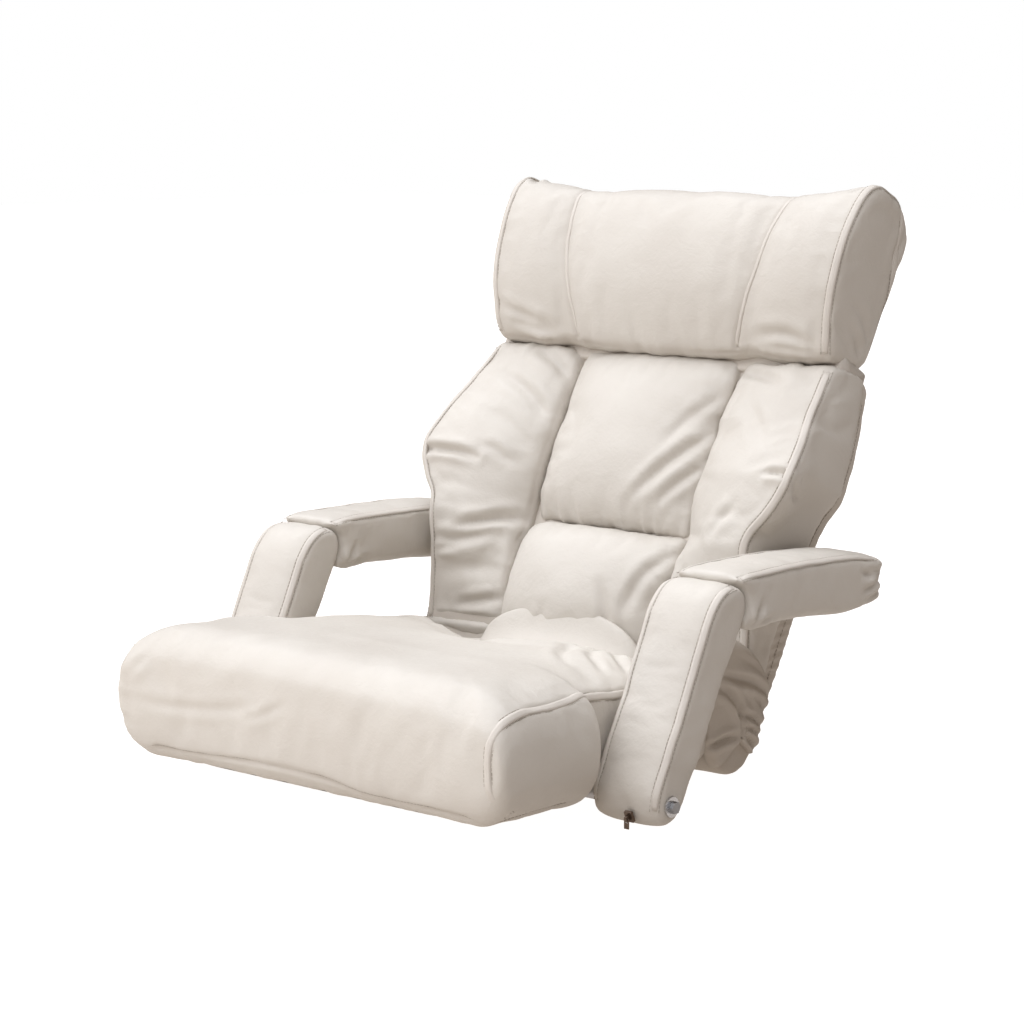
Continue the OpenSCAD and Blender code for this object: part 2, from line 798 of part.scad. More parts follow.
module head_sector(side) {
    color(ZINC) on_head() right_or_left(side)
        along_x(tube_x - plate_t / 2, tube_x + plate_t / 2)
            toothed(head_tip_r, head_root_r, head_step, head_nose_dir - head_turn, -1, 2,
                    head_rivet_d / 2 + running)
                translate([-5, 0]) square([10, head_stem]);
}

// Side view of the head cushion, from the front of the crease up and over
head_outline = concat(
    [[-24, 12], [-12, 10], [0, 9], [12, 9], [21, 10]],
    [[28, 22], [35, 44], [40, 70], [47, 95], [54, 120], [58, 142], [57, 160]],
    [[48, head_h - 22], [33, head_h - 10], [14, head_h - 2]],
    [[-4, head_h], [-18, head_h - 3], [-29, head_h - 12], [-36, head_h - 30]],
    [for (w = [145, 120, 95, 72, 50, 32, 20]) [-25 - 18 * sqrt(max(0, 1 - pow((w - 95) / 85, 2))), w]]
);

// The head cushion at x, drawn in by d. It widens with height, and its top corners stand up.
function head_ring(x, d) =
    let (ear = head_ear * pow(abs(2 * x / head_crease_w), 5))
    [
        for (p = inset(head_outline, d))
            let (t = max(0, p[1] / head_h))
            [x * (1 + (head_w / head_crease_w - 1) * t), p[0], p[1] + ear * pow(t, 4)]
    ];

module head_pillow() {
    edge = head_crease_w / 2;
    half = [[edge, 9], [edge - 2, 5], [edge - 8, 1.5], [edge - 25, 0],
            [0.735 * edge, -1], [0.6 * edge, 1], [0.54 * edge, 5], [0.48 * edge, 1], [0.29 * edge, -3]];
    stations = concat(
        [for (s = half) [-s[0], s[1]]], [[0, -4]],
        [for (i = [len(half) - 1 : -1 : 0]) half[i]]
    );
    color(LEATHER) on_head()
        difference() {
            loft([for (s = stations) head_ring(s[0], s[1])], flip = true);
            // Pocket for the head frame
            translate([-tube_x - head_tube_r - 4, -head_tube_r - seat_gap, 0])
                cube([2 * (tube_x + head_tube_r + 4), 2 * (head_tube_r + seat_gap),
                      head_frame_h + head_tube_r + 1]);
            for (side = [-1, 1]) right_or_left(side)
                disc_x(hinge_slot[0], hinge_slot[1], [0, 0], head_cheek_r + soft_gap);
        }
}

/* Armrests */

function arc(at, r, from, to, count) =
    [for (i = [0 : count]) at + polar(r, from + (to - from) * i / count)];

post_outline =
    let (
        open = acos((foot_r - elbow_r) / link),
        dir = 90 - lean,
        low = arc(post_pivot, foot_r, dir + open, dir + 360 - open, 12),
        high = arc(elbow, elbow_r, dir - open, dir + open, 12),
        a = low[12],
        b = high[0],
        c = high[12],
        d = low[0]
    )
    concat(
        low, [for (s = [0.25, 0.5, 0.75]) a + (b - a) * s],
        high, [for (s = [0.25, 0.5, 0.75]) c + (d - c) * s]
    );

forearm_top = elbow[1] + forearm_up;
forearm_low = elbow[1] - forearm_down;
forearm_end = rear_pivot[0] + forearm_tail;
forearm_outline = concat(
    [for (s = [0 : 0.2 : 1]) [elbow[0] + 29 + s * (rear_pivot[0] - elbow[0] - 29), forearm_low]],
    arc([forearm_end - 14, forearm_low + 14], 14, -70, 0, 3),
    arc([forearm_end - 16, forearm_top - 24], 17, 0, 75, 4),
    [for (s = [0.85, 0.7, 0.5, 0.3, 0.15, 0])
        [elbow[0] + 14 + s * (rear_pivot[0] - elbow[0]), forearm_top + 2 * sin(180 * s)]],
    [[elbow[0] + 9, forearm_top - 8], [elbow[0] + 18, elbow[1]]]
);

arm_stations = [
    [arm_in, 7], [arm_in + 2, 3], [arm_in + 7, 0.5],
    [arm_in + 25, -0.5 * pad_bulge], [arm_in + arm_w / 2, -pad_bulge],
    [arm_out - 25, -0.5 * pad_bulge], [arm_out - 7, 0.5], [arm_out - 2, 3], [arm_out, 7]
];

module arm_bar(a, b, x, bore_a, bore_b) {
    along_x(x, x + bar_t) difference() {
        strap(a, bar_w / 2, b, bar_w / 2);
        translate(a) circle(bore_a);
        translate(b) circle(bore_b);
    }
}

module post_frame(side) {
    color(STEEL) right_or_left(side) arm_bar(post_pivot, elbow, post_bar_x, pin_r + running, pin_r + running);
}

module forearm_frame(side) {
    color(STEEL) right_or_left(side)
        arm_bar(elbow, rear_pivot, forearm_bar_x, pin_r + running, pin_r + open_play);
}

module post_pad(side) {
    room = bar_w / 2 + seat_gap;
    color(LEATHER) right_or_left(side)
        difference() {
            soft_slab(post_outline, arm_stations);
            along_x(post_bar_x - seat_gap, post_bar_x + bar_t + seat_gap) strap(post_pivot, room, elbow, room);
            disc_x(arm_in - 5, arm_out + 5, post_pivot, sleeve_r + seat_gap);
            // Elbow: the rivet's heads, and the slot that the forearm's bar swings in
            disc_x(post_bar_x - pin_head_t - 1, forearm_bar_x + bar_t + pin_head_t + 1, elbow,
                   pin_head_r + seat_gap);
            translate([0, elbow[0], elbow[1]]) rotate([-lean, 0, 0])
                translate([forearm_bar_x - 0.7, -40, -bar_w / 2 - 2]) cube([bar_t + 1.4, 80, 60]);
        }
}

module forearm_pad(side) {
    room = bar_w / 2 + seat_gap;
    color(LEATHER) right_or_left(side)
        difference() {
            soft_slab(forearm_outline, arm_stations);
            disc_x(arm_in - 5, arm_out + 5, elbow, elbow_r + pad_bulge + soft_gap);
            along_x(forearm_bar_x - seat_gap, forearm_bar_x + bar_t + seat_gap) strap(elbow, room, rear_pivot, room);
            disc_x(arm_in - 5, forearm_bar_x, rear_pivot, 6 + open_play + 0.5);
            disc_x(forearm_bar_x, forearm_bar_x + bar_t + pin_head_t + 1, rear_pivot, pin_head_r + seat_gap);
        }
}

module elbow_pin(side) {
    from = post_bar_x - pin_head_t - 0.1;
    to = forearm_bar_x + bar_t + pin_head_t + seat_gap;
    color(ZINC) right_or_left(side) {
        disc_x(from, to, elbow, pin_r);
        disc_x(from, from + pin_head_t, elbow, pin_head_r);
        disc_x(to - pin_head_t, to, elbow, pin_head_r);
    }
}

module arm_pivot_bolt(side) {
    color(BRASS) right_or_left(side) {
        disc_x(tube_x - tube_r - 9, arm_out + washer_t, post_pivot, pin_r);
        along_x(arm_out + washer_t, arm_out + washer_t + bolt_head_h) translate(post_pivot)
            circle(r = 6.5, $fn = 6);
    }
}

module arm_pivot_sleeves(side) {
    color(ZINC) right_or_left(side)
        for (span = [[tube_x + tube_r + 0.1, post_bar_x - seat_gap], [post_bar_x + bar_t + seat_gap, arm_out]])
            along_x(span[0], span[1]) translate(post_pivot) difference() {
                circle(sleeve_r);
                circle(pin_r + running);
            }
}

module arm_pivot_fixings(side) {
    color(BRASS) right_or_left(side) {
        along_x(arm_out, arm_out + washer_t) translate(post_pivot) difference() {
            circle(washer_r);
            circle(pin_r + running);
        }
        along_x(tube_x - tube_r - 7, tube_x - tube_r) translate(post_pivot) difference() {
            circle(r = 7.5, $fn = 6);
            circle(pin_r + running);
        }
    }
}

module zip_slider(side) {
    color(BRASS) right_or_left(side)
        translate([zip_x, post_pivot[0], post_pivot[1]]) rotate([zip_dir, 0, 0])
            translate([-slider_w / 2, foot_r + pad_bulge + seat_gap, -6]) difference() {
                union() {
                    cube([slider_w, slider_t, 12]);
                    translate([slider_w / 2 - 1.5, slider_t, 3]) cube([3, 5, 6]);
                }
                translate([0, slider_t + 3.2, 6]) rotate([0, 90, 0]) cylinder(h = slider_w, r = 1);
            }
}

module zip_pull(side) {
    color(BRASS) right_or_left(side)
        translate([zip_x, pull_at[0], pull_at[1]]) {
            rotate([0, 90, 0]) cylinder(h = pull_w, r = 0.9, center = true);
            for (x = [-pull_w / 2, pull_w / 2 - 1.1])
                translate([x, -pull_t / 2, -4.2]) cube([1.1, pull_t, 4.2]);
            translate([-pull_w / 2, -pull_t / 2, -pull_l]) cube([pull_w, pull_t, pull_l - 4]);
        }
}

seat_frame();
seat_webbing();
seat_cushion();
seat_base_pad();
seat_base_panel();
recline_plates(-1);  // recline_plates_left
recline_plates(1);  // recline_plates_right
recline_rivets(-1);  // recline_rivets_left
recline_rivets(1);  // recline_rivets_right
recline_pawl_spring(-1);  // recline_pawl_spring_left
recline_pawl_spring(1);  // recline_pawl_spring_right
arm_pivot_bolt(-1);  // arm_pivot_bolt_left
arm_pivot_bolt(1);  // arm_pivot_bolt_right
arm_pivot_sleeves(-1);  // arm_pivot_sleeves_left
arm_pivot_sleeves(1);  // arm_pivot_sleeves_right
arm_pivot_fixings(-1);  // arm_pivot_fixings_left
arm_pivot_fixings(1);  // arm_pivot_fixings_right
recline_pawl(-1);  // recline_pawl_left
recline_pawl(1);  // recline_pawl_right
back_frame();
back_webbing();
recline_sector(-1);  // recline_sector_left
recline_sector(1);  // recline_sector_right
back_rear_cover();
upper_pad();
lumbar_pad();
side_bolster(-1);  // side_bolster_left
side_bolster(1);  // side_bolster_right
head_plates(-1);  // head_plates_left
head_plates(1);  // head_plates_right
head_rivets(-1);  // head_rivets_left
head_rivets(1);  // head_rivets_right
arm_rear_pin(-1);  // arm_rear_pin_left
arm_rear_pin(1);  // arm_rear_pin_right
head_pawl(-1);  // head_pawl_left
head_pawl(1);  // head_pawl_right
head_frame();
head_sector(-1);  // head_sector_left
head_sector(1);  // head_sector_right
head_pillow();
post_frame(-1);  // post_frame_left
post_frame(1);  // post_frame_right
post_pad(-1);  // post_pad_left
post_pad(1);  // post_pad_right
elbow_pin(-1);  // elbow_pin_left
elbow_pin(1);  // elbow_pin_right
zip_slider(-1);  // zip_slider_left
zip_slider(1);  // zip_slider_right
forearm_frame(-1);  // forearm_frame_left
forearm_frame(1);  // forearm_frame_right
forearm_pad(-1);  // forearm_pad_left
forearm_pad(1);  // forearm_pad_right
zip_pull(-1);  // zip_pull_left
zip_pull(1);  // zip_pull_right
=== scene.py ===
# %% [markdown]
# # A reclining floor chair in cream leather
# The chair is a stack of stuffed leather covers on a folding steel frame. The frame comes in from the
# construction model as fixed solids. This lesson dresses it: each cover is built as a smooth stuffed form,
# blown up a little by Blender's Cloth so that its leather pulls at the seams, and then stitched.

# %% Load the construction model
import json
import math

import bmesh
import bpy
import numpy as np
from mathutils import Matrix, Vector
from mathutils.bvhtree import BVHTree


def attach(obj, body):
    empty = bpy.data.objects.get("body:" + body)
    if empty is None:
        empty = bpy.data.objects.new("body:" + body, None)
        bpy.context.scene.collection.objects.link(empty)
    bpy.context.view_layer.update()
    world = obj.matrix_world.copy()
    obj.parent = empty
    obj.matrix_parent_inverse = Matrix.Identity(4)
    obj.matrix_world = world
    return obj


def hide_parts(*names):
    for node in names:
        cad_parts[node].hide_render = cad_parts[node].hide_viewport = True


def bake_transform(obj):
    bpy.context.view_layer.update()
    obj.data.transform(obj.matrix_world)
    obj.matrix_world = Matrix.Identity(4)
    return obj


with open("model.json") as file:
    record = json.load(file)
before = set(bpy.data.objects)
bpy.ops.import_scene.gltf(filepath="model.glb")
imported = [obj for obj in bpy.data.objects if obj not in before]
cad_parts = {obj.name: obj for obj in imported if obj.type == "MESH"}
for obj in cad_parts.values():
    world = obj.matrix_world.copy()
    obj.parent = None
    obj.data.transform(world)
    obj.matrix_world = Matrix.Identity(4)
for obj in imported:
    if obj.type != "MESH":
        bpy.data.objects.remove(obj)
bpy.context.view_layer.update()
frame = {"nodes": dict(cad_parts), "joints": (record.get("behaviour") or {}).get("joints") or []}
nodes = frame["nodes"]
scene = bpy.context.scene
pivot = {j["name"]: np.array(j["pos_m"]) for j in frame["joints"]}

# %% [markdown]
# ## Where things are
# The back and the head cushion lean. It is easiest to model them upright in their own planes, with
# x across, v to the rear and w up the lean, and to turn the finished points into the room.

# %% Frames of the leaning parts
LEAN, HEAD_LEAN = math.radians(27.0), math.radians(14.0)
RECLINE = pivot["recline"][1:]
HEAD_AXIS = pivot["head_tilt"][1:]
POST = pivot["arm_post_swing_right"][1:]
ELBOW = pivot["forearm_fold_right"][1:]
REAR = RECLINE + ELBOW - POST


def leaning(points, origin, angle):
    """Points [x, v, w] in a leaning plane, turned into the room."""
    p = np.asarray(points, float)
    s, c = math.sin(angle), math.cos(angle)
    y = origin[0] + p[:, 2] * s + p[:, 1] * c
    z = origin[1] + p[:, 2] * c - p[:, 1] * s
    return np.column_stack([p[:, 0], y, z])


def on_back(points):
    return leaning(points, RECLINE, LEAN)


def on_head(points):
    return leaning(points, HEAD_AXIS, HEAD_LEAN)


def bump(d, width):
    return np.exp(-((np.asarray(d, float) / width) ** 2))


def smooth(t):
    t = np.clip(t, 0, 1)
    return t * t * (3 - 2 * t)


def unit(v):
    return v / np.linalg.norm(v, axis=1, keepdims=True)


def at_x(x, outline):
    """An outline [y, z] as points of the section at x."""
    return np.column_stack([np.full(len(outline), x), outline])


def roll(d, r):
    """How far a round edge of radius r has dropped at distance d from its end."""
    d = np.clip(d, 0, r)
    return r - np.sqrt(np.maximum(0, r * r - (r - d) ** 2))


MIRROR = np.array([-1, 1, 1])
print("recline hinge at", RECLINE, "head hinge at", HEAD_AXIS)

# %% [markdown]
# ## Folds that look handmade
# Leather wrinkles where a seam gathers it. A fold runs away from the seam, sharp at the stitches and soft
# further out. Noise that depends on the place along the seam gives each fold its own width and length.

# %% Value noise on a lattice, and folds made from it
def hashed(i, j, k, seed):
    n = (i * 374761393 + j * 668265263 + k * 2147483647 + seed * 1274126177).astype(np.int64)
    n = (n ^ (n >> 13)) * 1274126177 & 0x7FFFFFFF
    n = n ^ (n >> 16)
    return (n & 0xFFFF) / 32768.0 - 1.0


def noise(points, scale, seed=0):
    """Smooth noise from -1 to 1, one bump for each scale of length."""
    p = np.atleast_2d(np.asarray(points, float)) / scale
    if p.shape[1] < 3:
        p = np.pad(p, ((0, 0), (0, 3 - p.shape[1])))
    base = np.floor(p).astype(np.int64)
    f = p - base
    f = f * f * (3 - 2 * f)
    total = np.zeros(len(p))
    for dx in (0, 1):
        for dy in (0, 1):
            for dz in (0, 1):
                h = hashed(base[:, 0] + dx, base[:, 1] + dy, base[:, 2] + dz, seed)
                w = (f[:, 0] if dx else 1 - f[:, 0]) * (f[:, 1] if dy else 1 - f[:, 1])
                total += h * w * (f[:, 2] if dz else 1 - f[:, 2])
    return total


def resample(path, step):
    """The path with points every step, and the length to each."""
    p = np.asarray(path, float)
    if len(p) > 2:
        fine = []
        q = np.vstack([2 * p[0] - p[1], p, 2 * p[-1] - p[-2]])
        for i in range(1, len(q) - 2):
            for t in np.linspace(0, 1, 12, endpoint=False):
                a, b, c, d = q[i - 1], q[i], q[i + 1], q[i + 2]
                fine.append(0.5 * (2 * b + (c - a) * t + (2 * a - 5 * b + 4 * c - d) * t**2
                                   + (3 * b - a - 3 * c + d) * t**3))
        p = np.array(fine + [p[-1]])
    s = np.concatenate([[0], np.cumsum(np.linalg.norm(np.diff(p, axis=0), axis=1))])
    at = np.linspace(0, s[-1], max(2, int(round(s[-1] / step)) + 1))
    return np.column_stack([np.interp(at, s, p[:, k]) for k in range(3)]), at


def near(points, path, at):
    """Distance from each point to the path, and how far along the path that is."""
    best = np.full(len(points), 1e9)
    along = np.zeros(len(points))
    for i in range(0, len(path), 64):
        d = np.linalg.norm(points[:, None, :] - path[None, i:i + 64, :], axis=2)
        j = d.argmin(1)
        v = d[np.arange(len(points)), j]
        closer = v < best
        best[closer] = v[closer]
        along[closer] = at[i:i + 64][j[closer]]
    return best, along


def creases(s, q, width, seed):
    """Ridges and sharp valleys across the length s, bent by the place q."""
    lane = np.column_stack([s + 0.35 * width * noise(q, 2.2 * width, seed + 5), 0.12 * q[:, 2], 0 * s])
    n = noise(lane, width, seed) + 0.5 * noise(lane * 1.9, width, seed + 1)
    return 1 - 2.2 * np.abs(n)


print("noise test", round(float(noise([[0.3, 0.2, 0.7]], 0.1)[0]), 3))

# %% [markdown]
# ## Stuffed forms
# A cover is a closed skin over rings. The voxel remesh turns it into an even net of small squares, which is
# what Cloth needs. The net is pinned along the seams, grows a little, and is blown up from inside, so it
# swells between the seams and gathers along them. No point may move further than the cap.

# %% Skins from rings
def new_piece(name, points, edges=(), faces=()):
    mesh = bpy.data.meshes.new(name)
    mesh.from_pydata(np.asarray(points, float).tolist(), edges, faces)
    piece = bpy.data.objects.new(name, mesh)
    scene.collection.objects.link(piece)
    return piece


def closed(name, points, faces):
    """A closed piece, its doubles joined and its normals turned outward."""
    piece = new_piece(name, points, faces=faces)
    bm = bmesh.new()
    bm.from_mesh(piece.data)
    bmesh.ops.remove_doubles(bm, verts=bm.verts, dist=1e-5)
    bmesh.ops.recalc_face_normals(bm, faces=bm.faces)
    bm.to_mesh(piece.data)
    bm.free()
    return piece


def skin(name, rings):
    """A closed mesh over rings of the same number of points."""
    rings = [np.asarray(r, float) for r in rings]
    n = len(rings[0])
    points = np.vstack(rings + [rings[0].mean(0)[None], rings[-1].mean(0)[None]])
    top = len(points) - 2
    faces = []
    for j in range(len(rings) - 1):
        for i in range(n):
            a, b = j * n + i, j * n + (i + 1) % n
            faces.append((a, b, b + n, a + n))
    last = (len(rings) - 1) * n
    for i in range(n):
        k = (i + 1) % n
        faces += [(top, k, i), (top + 1, last + i, last + k)]
    return closed(name, points, faces)


def coords(piece):
    c = np.empty(len(piece.data.vertices) * 3)
    piece.data.vertices.foreach_get("co", c)
    return c.reshape(-1, 3)


def set_coords(piece, c):
    piece.data.vertices.foreach_set("co", np.asarray(c, float).ravel())
    piece.data.update()


def normals(piece):
    n = np.empty(len(piece.data.vertices) * 3)
    piece.data.vertex_normals.foreach_get("vector", n)
    return n.reshape(-1, 3)


def bake(piece):
    """Applies the modifiers and returns the piece as a plain mesh."""
    graph = bpy.context.evaluated_depsgraph_get()
    mesh = bpy.data.meshes.new_from_object(piece.evaluated_get(graph))
    piece.modifiers.clear()
    piece.data = mesh
    return piece


def blur(piece, field, times=1):
    """A field given at the points, smoothed over the net."""
    ends = np.empty(len(piece.data.edges) * 2, int)
    piece.data.edges.foreach_get("vertices", ends)
    a, b = ends.reshape(-1, 2).T
    n = len(piece.data.vertices)
    count = np.bincount(ends, minlength=n)[:, None]
    for step in range(times):
        field = np.column_stack([np.bincount(a, field[b, k], n) + np.bincount(b, field[a, k], n)
                                 for k in range(field.shape[1])]) / count
    return field


def finer(piece):
    halve = piece.modifiers.new("finer", "SUBSURF")
    halve.levels = halve.render_levels = 1
    return bake(piece)


def relax(piece, times, held=None):
    """Evens out the net's steps by moving points to the middle of their neighbours."""
    c = coords(piece)
    free = 1 if held is None else (1 - held)[:, None]
    for step in range(times):
        for k in (0.55, -0.57):
            c = c + k * free * (blur(piece, c) - c)
    set_coords(piece, c)


FRAMES, CRISP = 20, 0.42


def stuff(piece, net, seams, grow=0.05, pressure=4.0, cap=0.014, pin=0.006, plump=0.3):
    """Remeshes a skin and swells it with Cloth between its pinned seams.

    The rings already have the cushion's form, so only the share called plump of the broad swelling is kept.
    Of the small folds that Cloth makes, the share CRISP is kept, because this leather is smooth."""
    remesh = piece.modifiers.new("net", "REMESH")
    remesh.mode = "VOXEL"
    remesh.voxel_size = net
    remesh.use_smooth_shade = True
    bake(piece)
    relax(piece, 6)
    start = coords(piece)
    close = np.full(len(start), 1e9)
    for path in seams:
        close = np.minimum(close, near(start, *resample(path, 0.006))[0])
    hold = 1 - smooth((close - pin) / (1.5 * pin))
    group = piece.vertex_groups.new(name="pin")
    for i, w in enumerate(hold):
        if w > 0.02:
            group.add([i], float(w), "REPLACE")
    cloth = piece.modifiers.new("swell", "CLOTH")
    for key, value in dict(
            quality=5, mass=0.35, tension_stiffness=14, compression_stiffness=14, shear_stiffness=6,
            bending_stiffness=0.6, shrink_min=-grow, shrink_max=-grow, use_pressure=True,
            uniform_pressure_force=pressure, vertex_group_mass="pin").items():
        setattr(cloth.settings, key, value)
    cloth.settings.effector_weights.gravity = 0
    cloth.collision_settings.use_collision = False
    cloth.point_cache.frame_start, cloth.point_cache.frame_end = 1, FRAMES
    for f in range(1, FRAMES + 1):
        scene.frame_set(f)
    bake(piece)
    piece.vertex_groups.clear()
    scene.frame_set(1)
    move = coords(piece) - start
    far = np.linalg.norm(move, axis=1, keepdims=True)
    move *= np.minimum(1, cap * np.tanh(far / cap) / np.maximum(far, 1e-9))
    broad = blur(piece, move, 40)
    move = plump * broad + CRISP * (move - broad)
    set_coords(piece, start + move)
    relax(piece, 1, hold)
    return finer(piece)


print("helpers ready, quick look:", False)

# %% [markdown]
# ## Seams
# A seam is a line drawn in space and pressed onto the leather. Beside it the leather is drawn in and
# gathered. Most seams of this chair are a folded welt: a flat ridge between two rows of stitches.

# %% Drawing the leather in at the seams
STEP = 0.005


def lay(piece, path):
    """The path drawn onto a piece: its points, the way up from the leather, and the way across the path."""
    mesh = piece.data
    tree = BVHTree.FromPolygons([v.co[:] for v in mesh.vertices], [p.vertices[:] for p in mesh.polygons])
    hits = [tree.find_nearest(Vector(p)) for p in resample(path, STEP)[0]]
    on, up = np.array([h[0] for h in hits]), np.array([h[1] for h in hits])
    for k in range(3):
        for v in (on, up):
            v[1:-1] = 0.25 * v[:-2] + 0.5 * v[1:-1] + 0.25 * v[2:]
    up = unit(up)
    return on, up, unit(np.cross(np.gradient(on, axis=0), up))


def seam(path, groove, fold, wave, reach, width=0.0045):
    """A seam's groove, and the height, spacing and length of the folds that run out from it."""
    return dict(path=path, groove=groove, fold=fold, wave=wave, reach=reach, width=width)


def sew(piece, seams, soft=0.0012, seed=1):
    """Moves the leather at its seams: a groove, folds that run out from it, and broad unevenness."""
    c, n = coords(piece), normals(piece)
    depth = soft * noise(c, 0.075, seed) + 0.4 * soft * noise(c, 0.03, seed + 1)
    closest = np.full(len(c), 1.0)
    crease = np.zeros(len(c))
    for i, s in enumerate(seams):
        d, along = near(c, *resample(s["path"], 0.003))
        closest = np.minimum(closest, d)
        depth -= s["groove"] * bump(d, s["width"])
        wave, reach = s["wave"], s["reach"]
        big = 0.5 + 0.5 * noise(np.column_stack([along, 0 * along, 0 * along]), 0.09, seed + 7 * i)
        f = creases(along, c, wave, seed + 11 * i) * np.exp(-d / reach) * smooth(d / 0.004)
        f += 0.4 * creases(along, c, 0.45 * wave, seed + 13 * i) * np.exp(-d / (0.35 * reach))
        depth += s["fold"] * (0.35 + big) * f
        # The fold valleys, which the leather darkens as painted shade
        crease += np.clip(-f, 0, 1) * big
    set_coords(piece, c + n * depth[:, None])
    for name, v in (("seam", np.exp(-closest / 0.004)), ("crease", crease)):
        a = piece.data.attributes.get(name) or piece.data.attributes.new(name, "FLOAT", "POINT")
        a.data.foreach_set("value", v.astype(np.float32))
    return piece


def stuff_and_sew(piece, net, seams, soft, seed, **swell):
    """Swells a cover between its seams, and then draws the leather in along them."""
    stuff(piece, net, [s["path"] for s in seams], **swell)
    sew(piece, seams, soft, seed)


def by_hand(folds, place=np.asarray):
    """Folds given in mm, [points, depth, width], put in the room by place."""
    return [(place(np.array(p) / 1000), d / 1000, w / 1000) for p, d, w in folds]


def press(piece, folds):
    """Single folds placed one by one, each [path, depth, width]: a valley with a ridge on either side."""
    c, n = coords(piece), normals(piece)
    move = np.zeros(len(c))
    for path, deep, wide in folds:
        line, at = resample(path, 0.004)
        d, along = near(c, line, at)
        t = along / at[-1]
        fade = np.sqrt(np.clip(np.sin(np.pi * np.clip(t, 0.02, 0.98)), 0, 1))
        move += deep * fade * (0.6 * bump(d - 2.1 * wide, 1.3 * wide) - bump(d, wide))
    set_coords(piece, c + n * move[:, None])


def ribbon(name, path, up, half, high):
    """A flat welt with round edges along a path on the leather."""
    side = unit(np.cross(unit(np.gradient(path, axis=0)), up))
    section = [(-1, -0.9), (-0.97, 0.35), (-0.72, 0.9), (-0.3, 1.0), (0.3, 1.0), (0.72, 0.9), (0.97, 0.35), (1, -0.9)]
    taper = np.ones(len(path))
    ends = min(4, len(path) // 3)
    taper[:ends] = np.linspace(0.35, 1, ends)
    taper[-ends:] = np.linspace(1, 0.35, ends)
    rings = [path[i] + np.array([a * half * side[i] * (0.5 + 0.5 * taper[i]) + b * high * taper[i] * up[i]
                                 for a, b in section]) for i in range(len(path))]
    return skin(name, rings)


print("seam helpers ready, a place every", STEP, "m")

# %% [markdown]
# ## Stitches
# Every stitch is the same short thread, so one small mesh is repeated along the seam by Geometry Nodes. The
# thread is turned to the seam's direction. The result is made a plain mesh for each body.

# %% A node tree that lays threads along a line
def stitch_tree(thread_material):
    tree = bpy.data.node_groups.new("stitches", "GeometryNodeTree")
    face = tree.interface
    face.new_socket("Geometry", in_out="INPUT", socket_type="NodeSocketGeometry")
    for label, value in (("Pitch", 0.0042), ("Length", 0.0030), ("Thickness", 0.00045)):
        face.new_socket(label, in_out="INPUT", socket_type="NodeSocketFloat").default_value = value
    face.new_socket("Geometry", in_out="OUTPUT", socket_type="NodeSocketGeometry")
    add = tree.nodes.new
    start, end = add("NodeGroupInput"), add("NodeGroupOutput")
    curve, points = add("GeometryNodeMeshToCurve"), add("GeometryNodeCurveToPoints")
    points.mode = "LENGTH"
    thread, put = add("GeometryNodeMeshCylinder"), add("GeometryNodeInstanceOnPoints")
    thread.inputs["Vertices"].default_value = 5
    real, paint = add("GeometryNodeRealizeInstances"), add("GeometryNodeSetMaterial")
    paint.inputs["Material"].default_value = thread_material
    for giver, out, taker, into in (
            (start, "Geometry", curve, "Mesh"), (curve, "Curve", points, "Curve"), (start, "Pitch", points, "Length"),
            (points, "Points", put, "Points"), (points, "Rotation", put, "Rotation"),
            (start, "Thickness", thread, "Radius"), (start, "Length", thread, "Depth"),
            (thread, "Mesh", put, "Instance"), (put, "Instances", real, "Geometry"),
            (real, "Geometry", paint, "Geometry"), (paint, "Geometry", end, "Geometry")):
        tree.links.new(giver.outputs[out], taker.inputs[into])
    return tree


def run_tree(piece, tree, **sizes):
    """Puts the tree on the piece with its sizes, and makes the result a plain mesh."""
    mod = piece.modifiers.new(tree.name, "NODES")
    mod.node_group = tree
    for item in tree.interface.items_tree:
        if item.in_out == "INPUT" and item.name in sizes:
            mod[item.identifier] = sizes[item.name]
    return bake(piece)


def lines_piece(name, lines):
    """A mesh of bare lines for the tree to follow."""
    points, edges = [], []
    for line in lines:
        k = len(points)
        points += [tuple(p) for p in line]
        edges += [(k + i, k + i + 1) for i in range(len(line) - 1)]
    return new_piece(name, points, edges)


print("stitch tree ready")

# %% [markdown]
# ## Leather, thread and metal
# The leather is thinly coated: cream, with a fine pebble, satin gloss, a little darkening along the seams and
# painted shade in the fold valleys. The grain comes from two Voronoi sizes in a bump. The seam attribute darkens the
# seams, and the crease attribute paints shade into the folds.

# %% Material helpers
def shader(name, color, roughness, metallic=0.0, **more):
    m = bpy.data.materials.new(name)
    m.use_nodes = True
    b = m.node_tree.nodes["Principled BSDF"]
    b.inputs["Base Color"].default_value = (*color, 1)
    b.inputs["Roughness"].default_value = roughness
    b.inputs["Metallic"].default_value = metallic
    for k, v in more.items():
        b.inputs[k.replace("_", " ")].default_value = v
    return m, m.node_tree, b


def node(tree, kind, links=(), **values):
    n = tree.nodes.new(kind)
    for k, v in values.items():
        if k in n.inputs:
            n.inputs[k].default_value = v
        elif k.replace("_", " ") in n.inputs:
            n.inputs[k.replace("_", " ")].default_value = v
        else:
            setattr(n, k, v)
    for out, into in links:
        tree.links.new(out, n.inputs[into])
    return n


def feed(t, taker, **sockets):
    for k, v in sockets.items():
        t.links.new(v, taker.inputs[k.replace("_", " ")])


def place_in(t):
    """The place in a material's own object."""
    return node(t, "ShaderNodeTexCoord").outputs["Object"]


def clouds(t, place, scale, detail, **more):
    return node(t, "ShaderNodeTexNoise", [(place, "Vector")], Scale=scale, Detail=detail, **more).outputs["Fac"]


def ramp(t, socket, low, high, start=0.3, end=0.7):
    return node(t, "ShaderNodeMapRange", [(socket, "Value")], From_Min=start, From_Max=end,
                To_Min=low, To_Max=high).outputs["Result"]


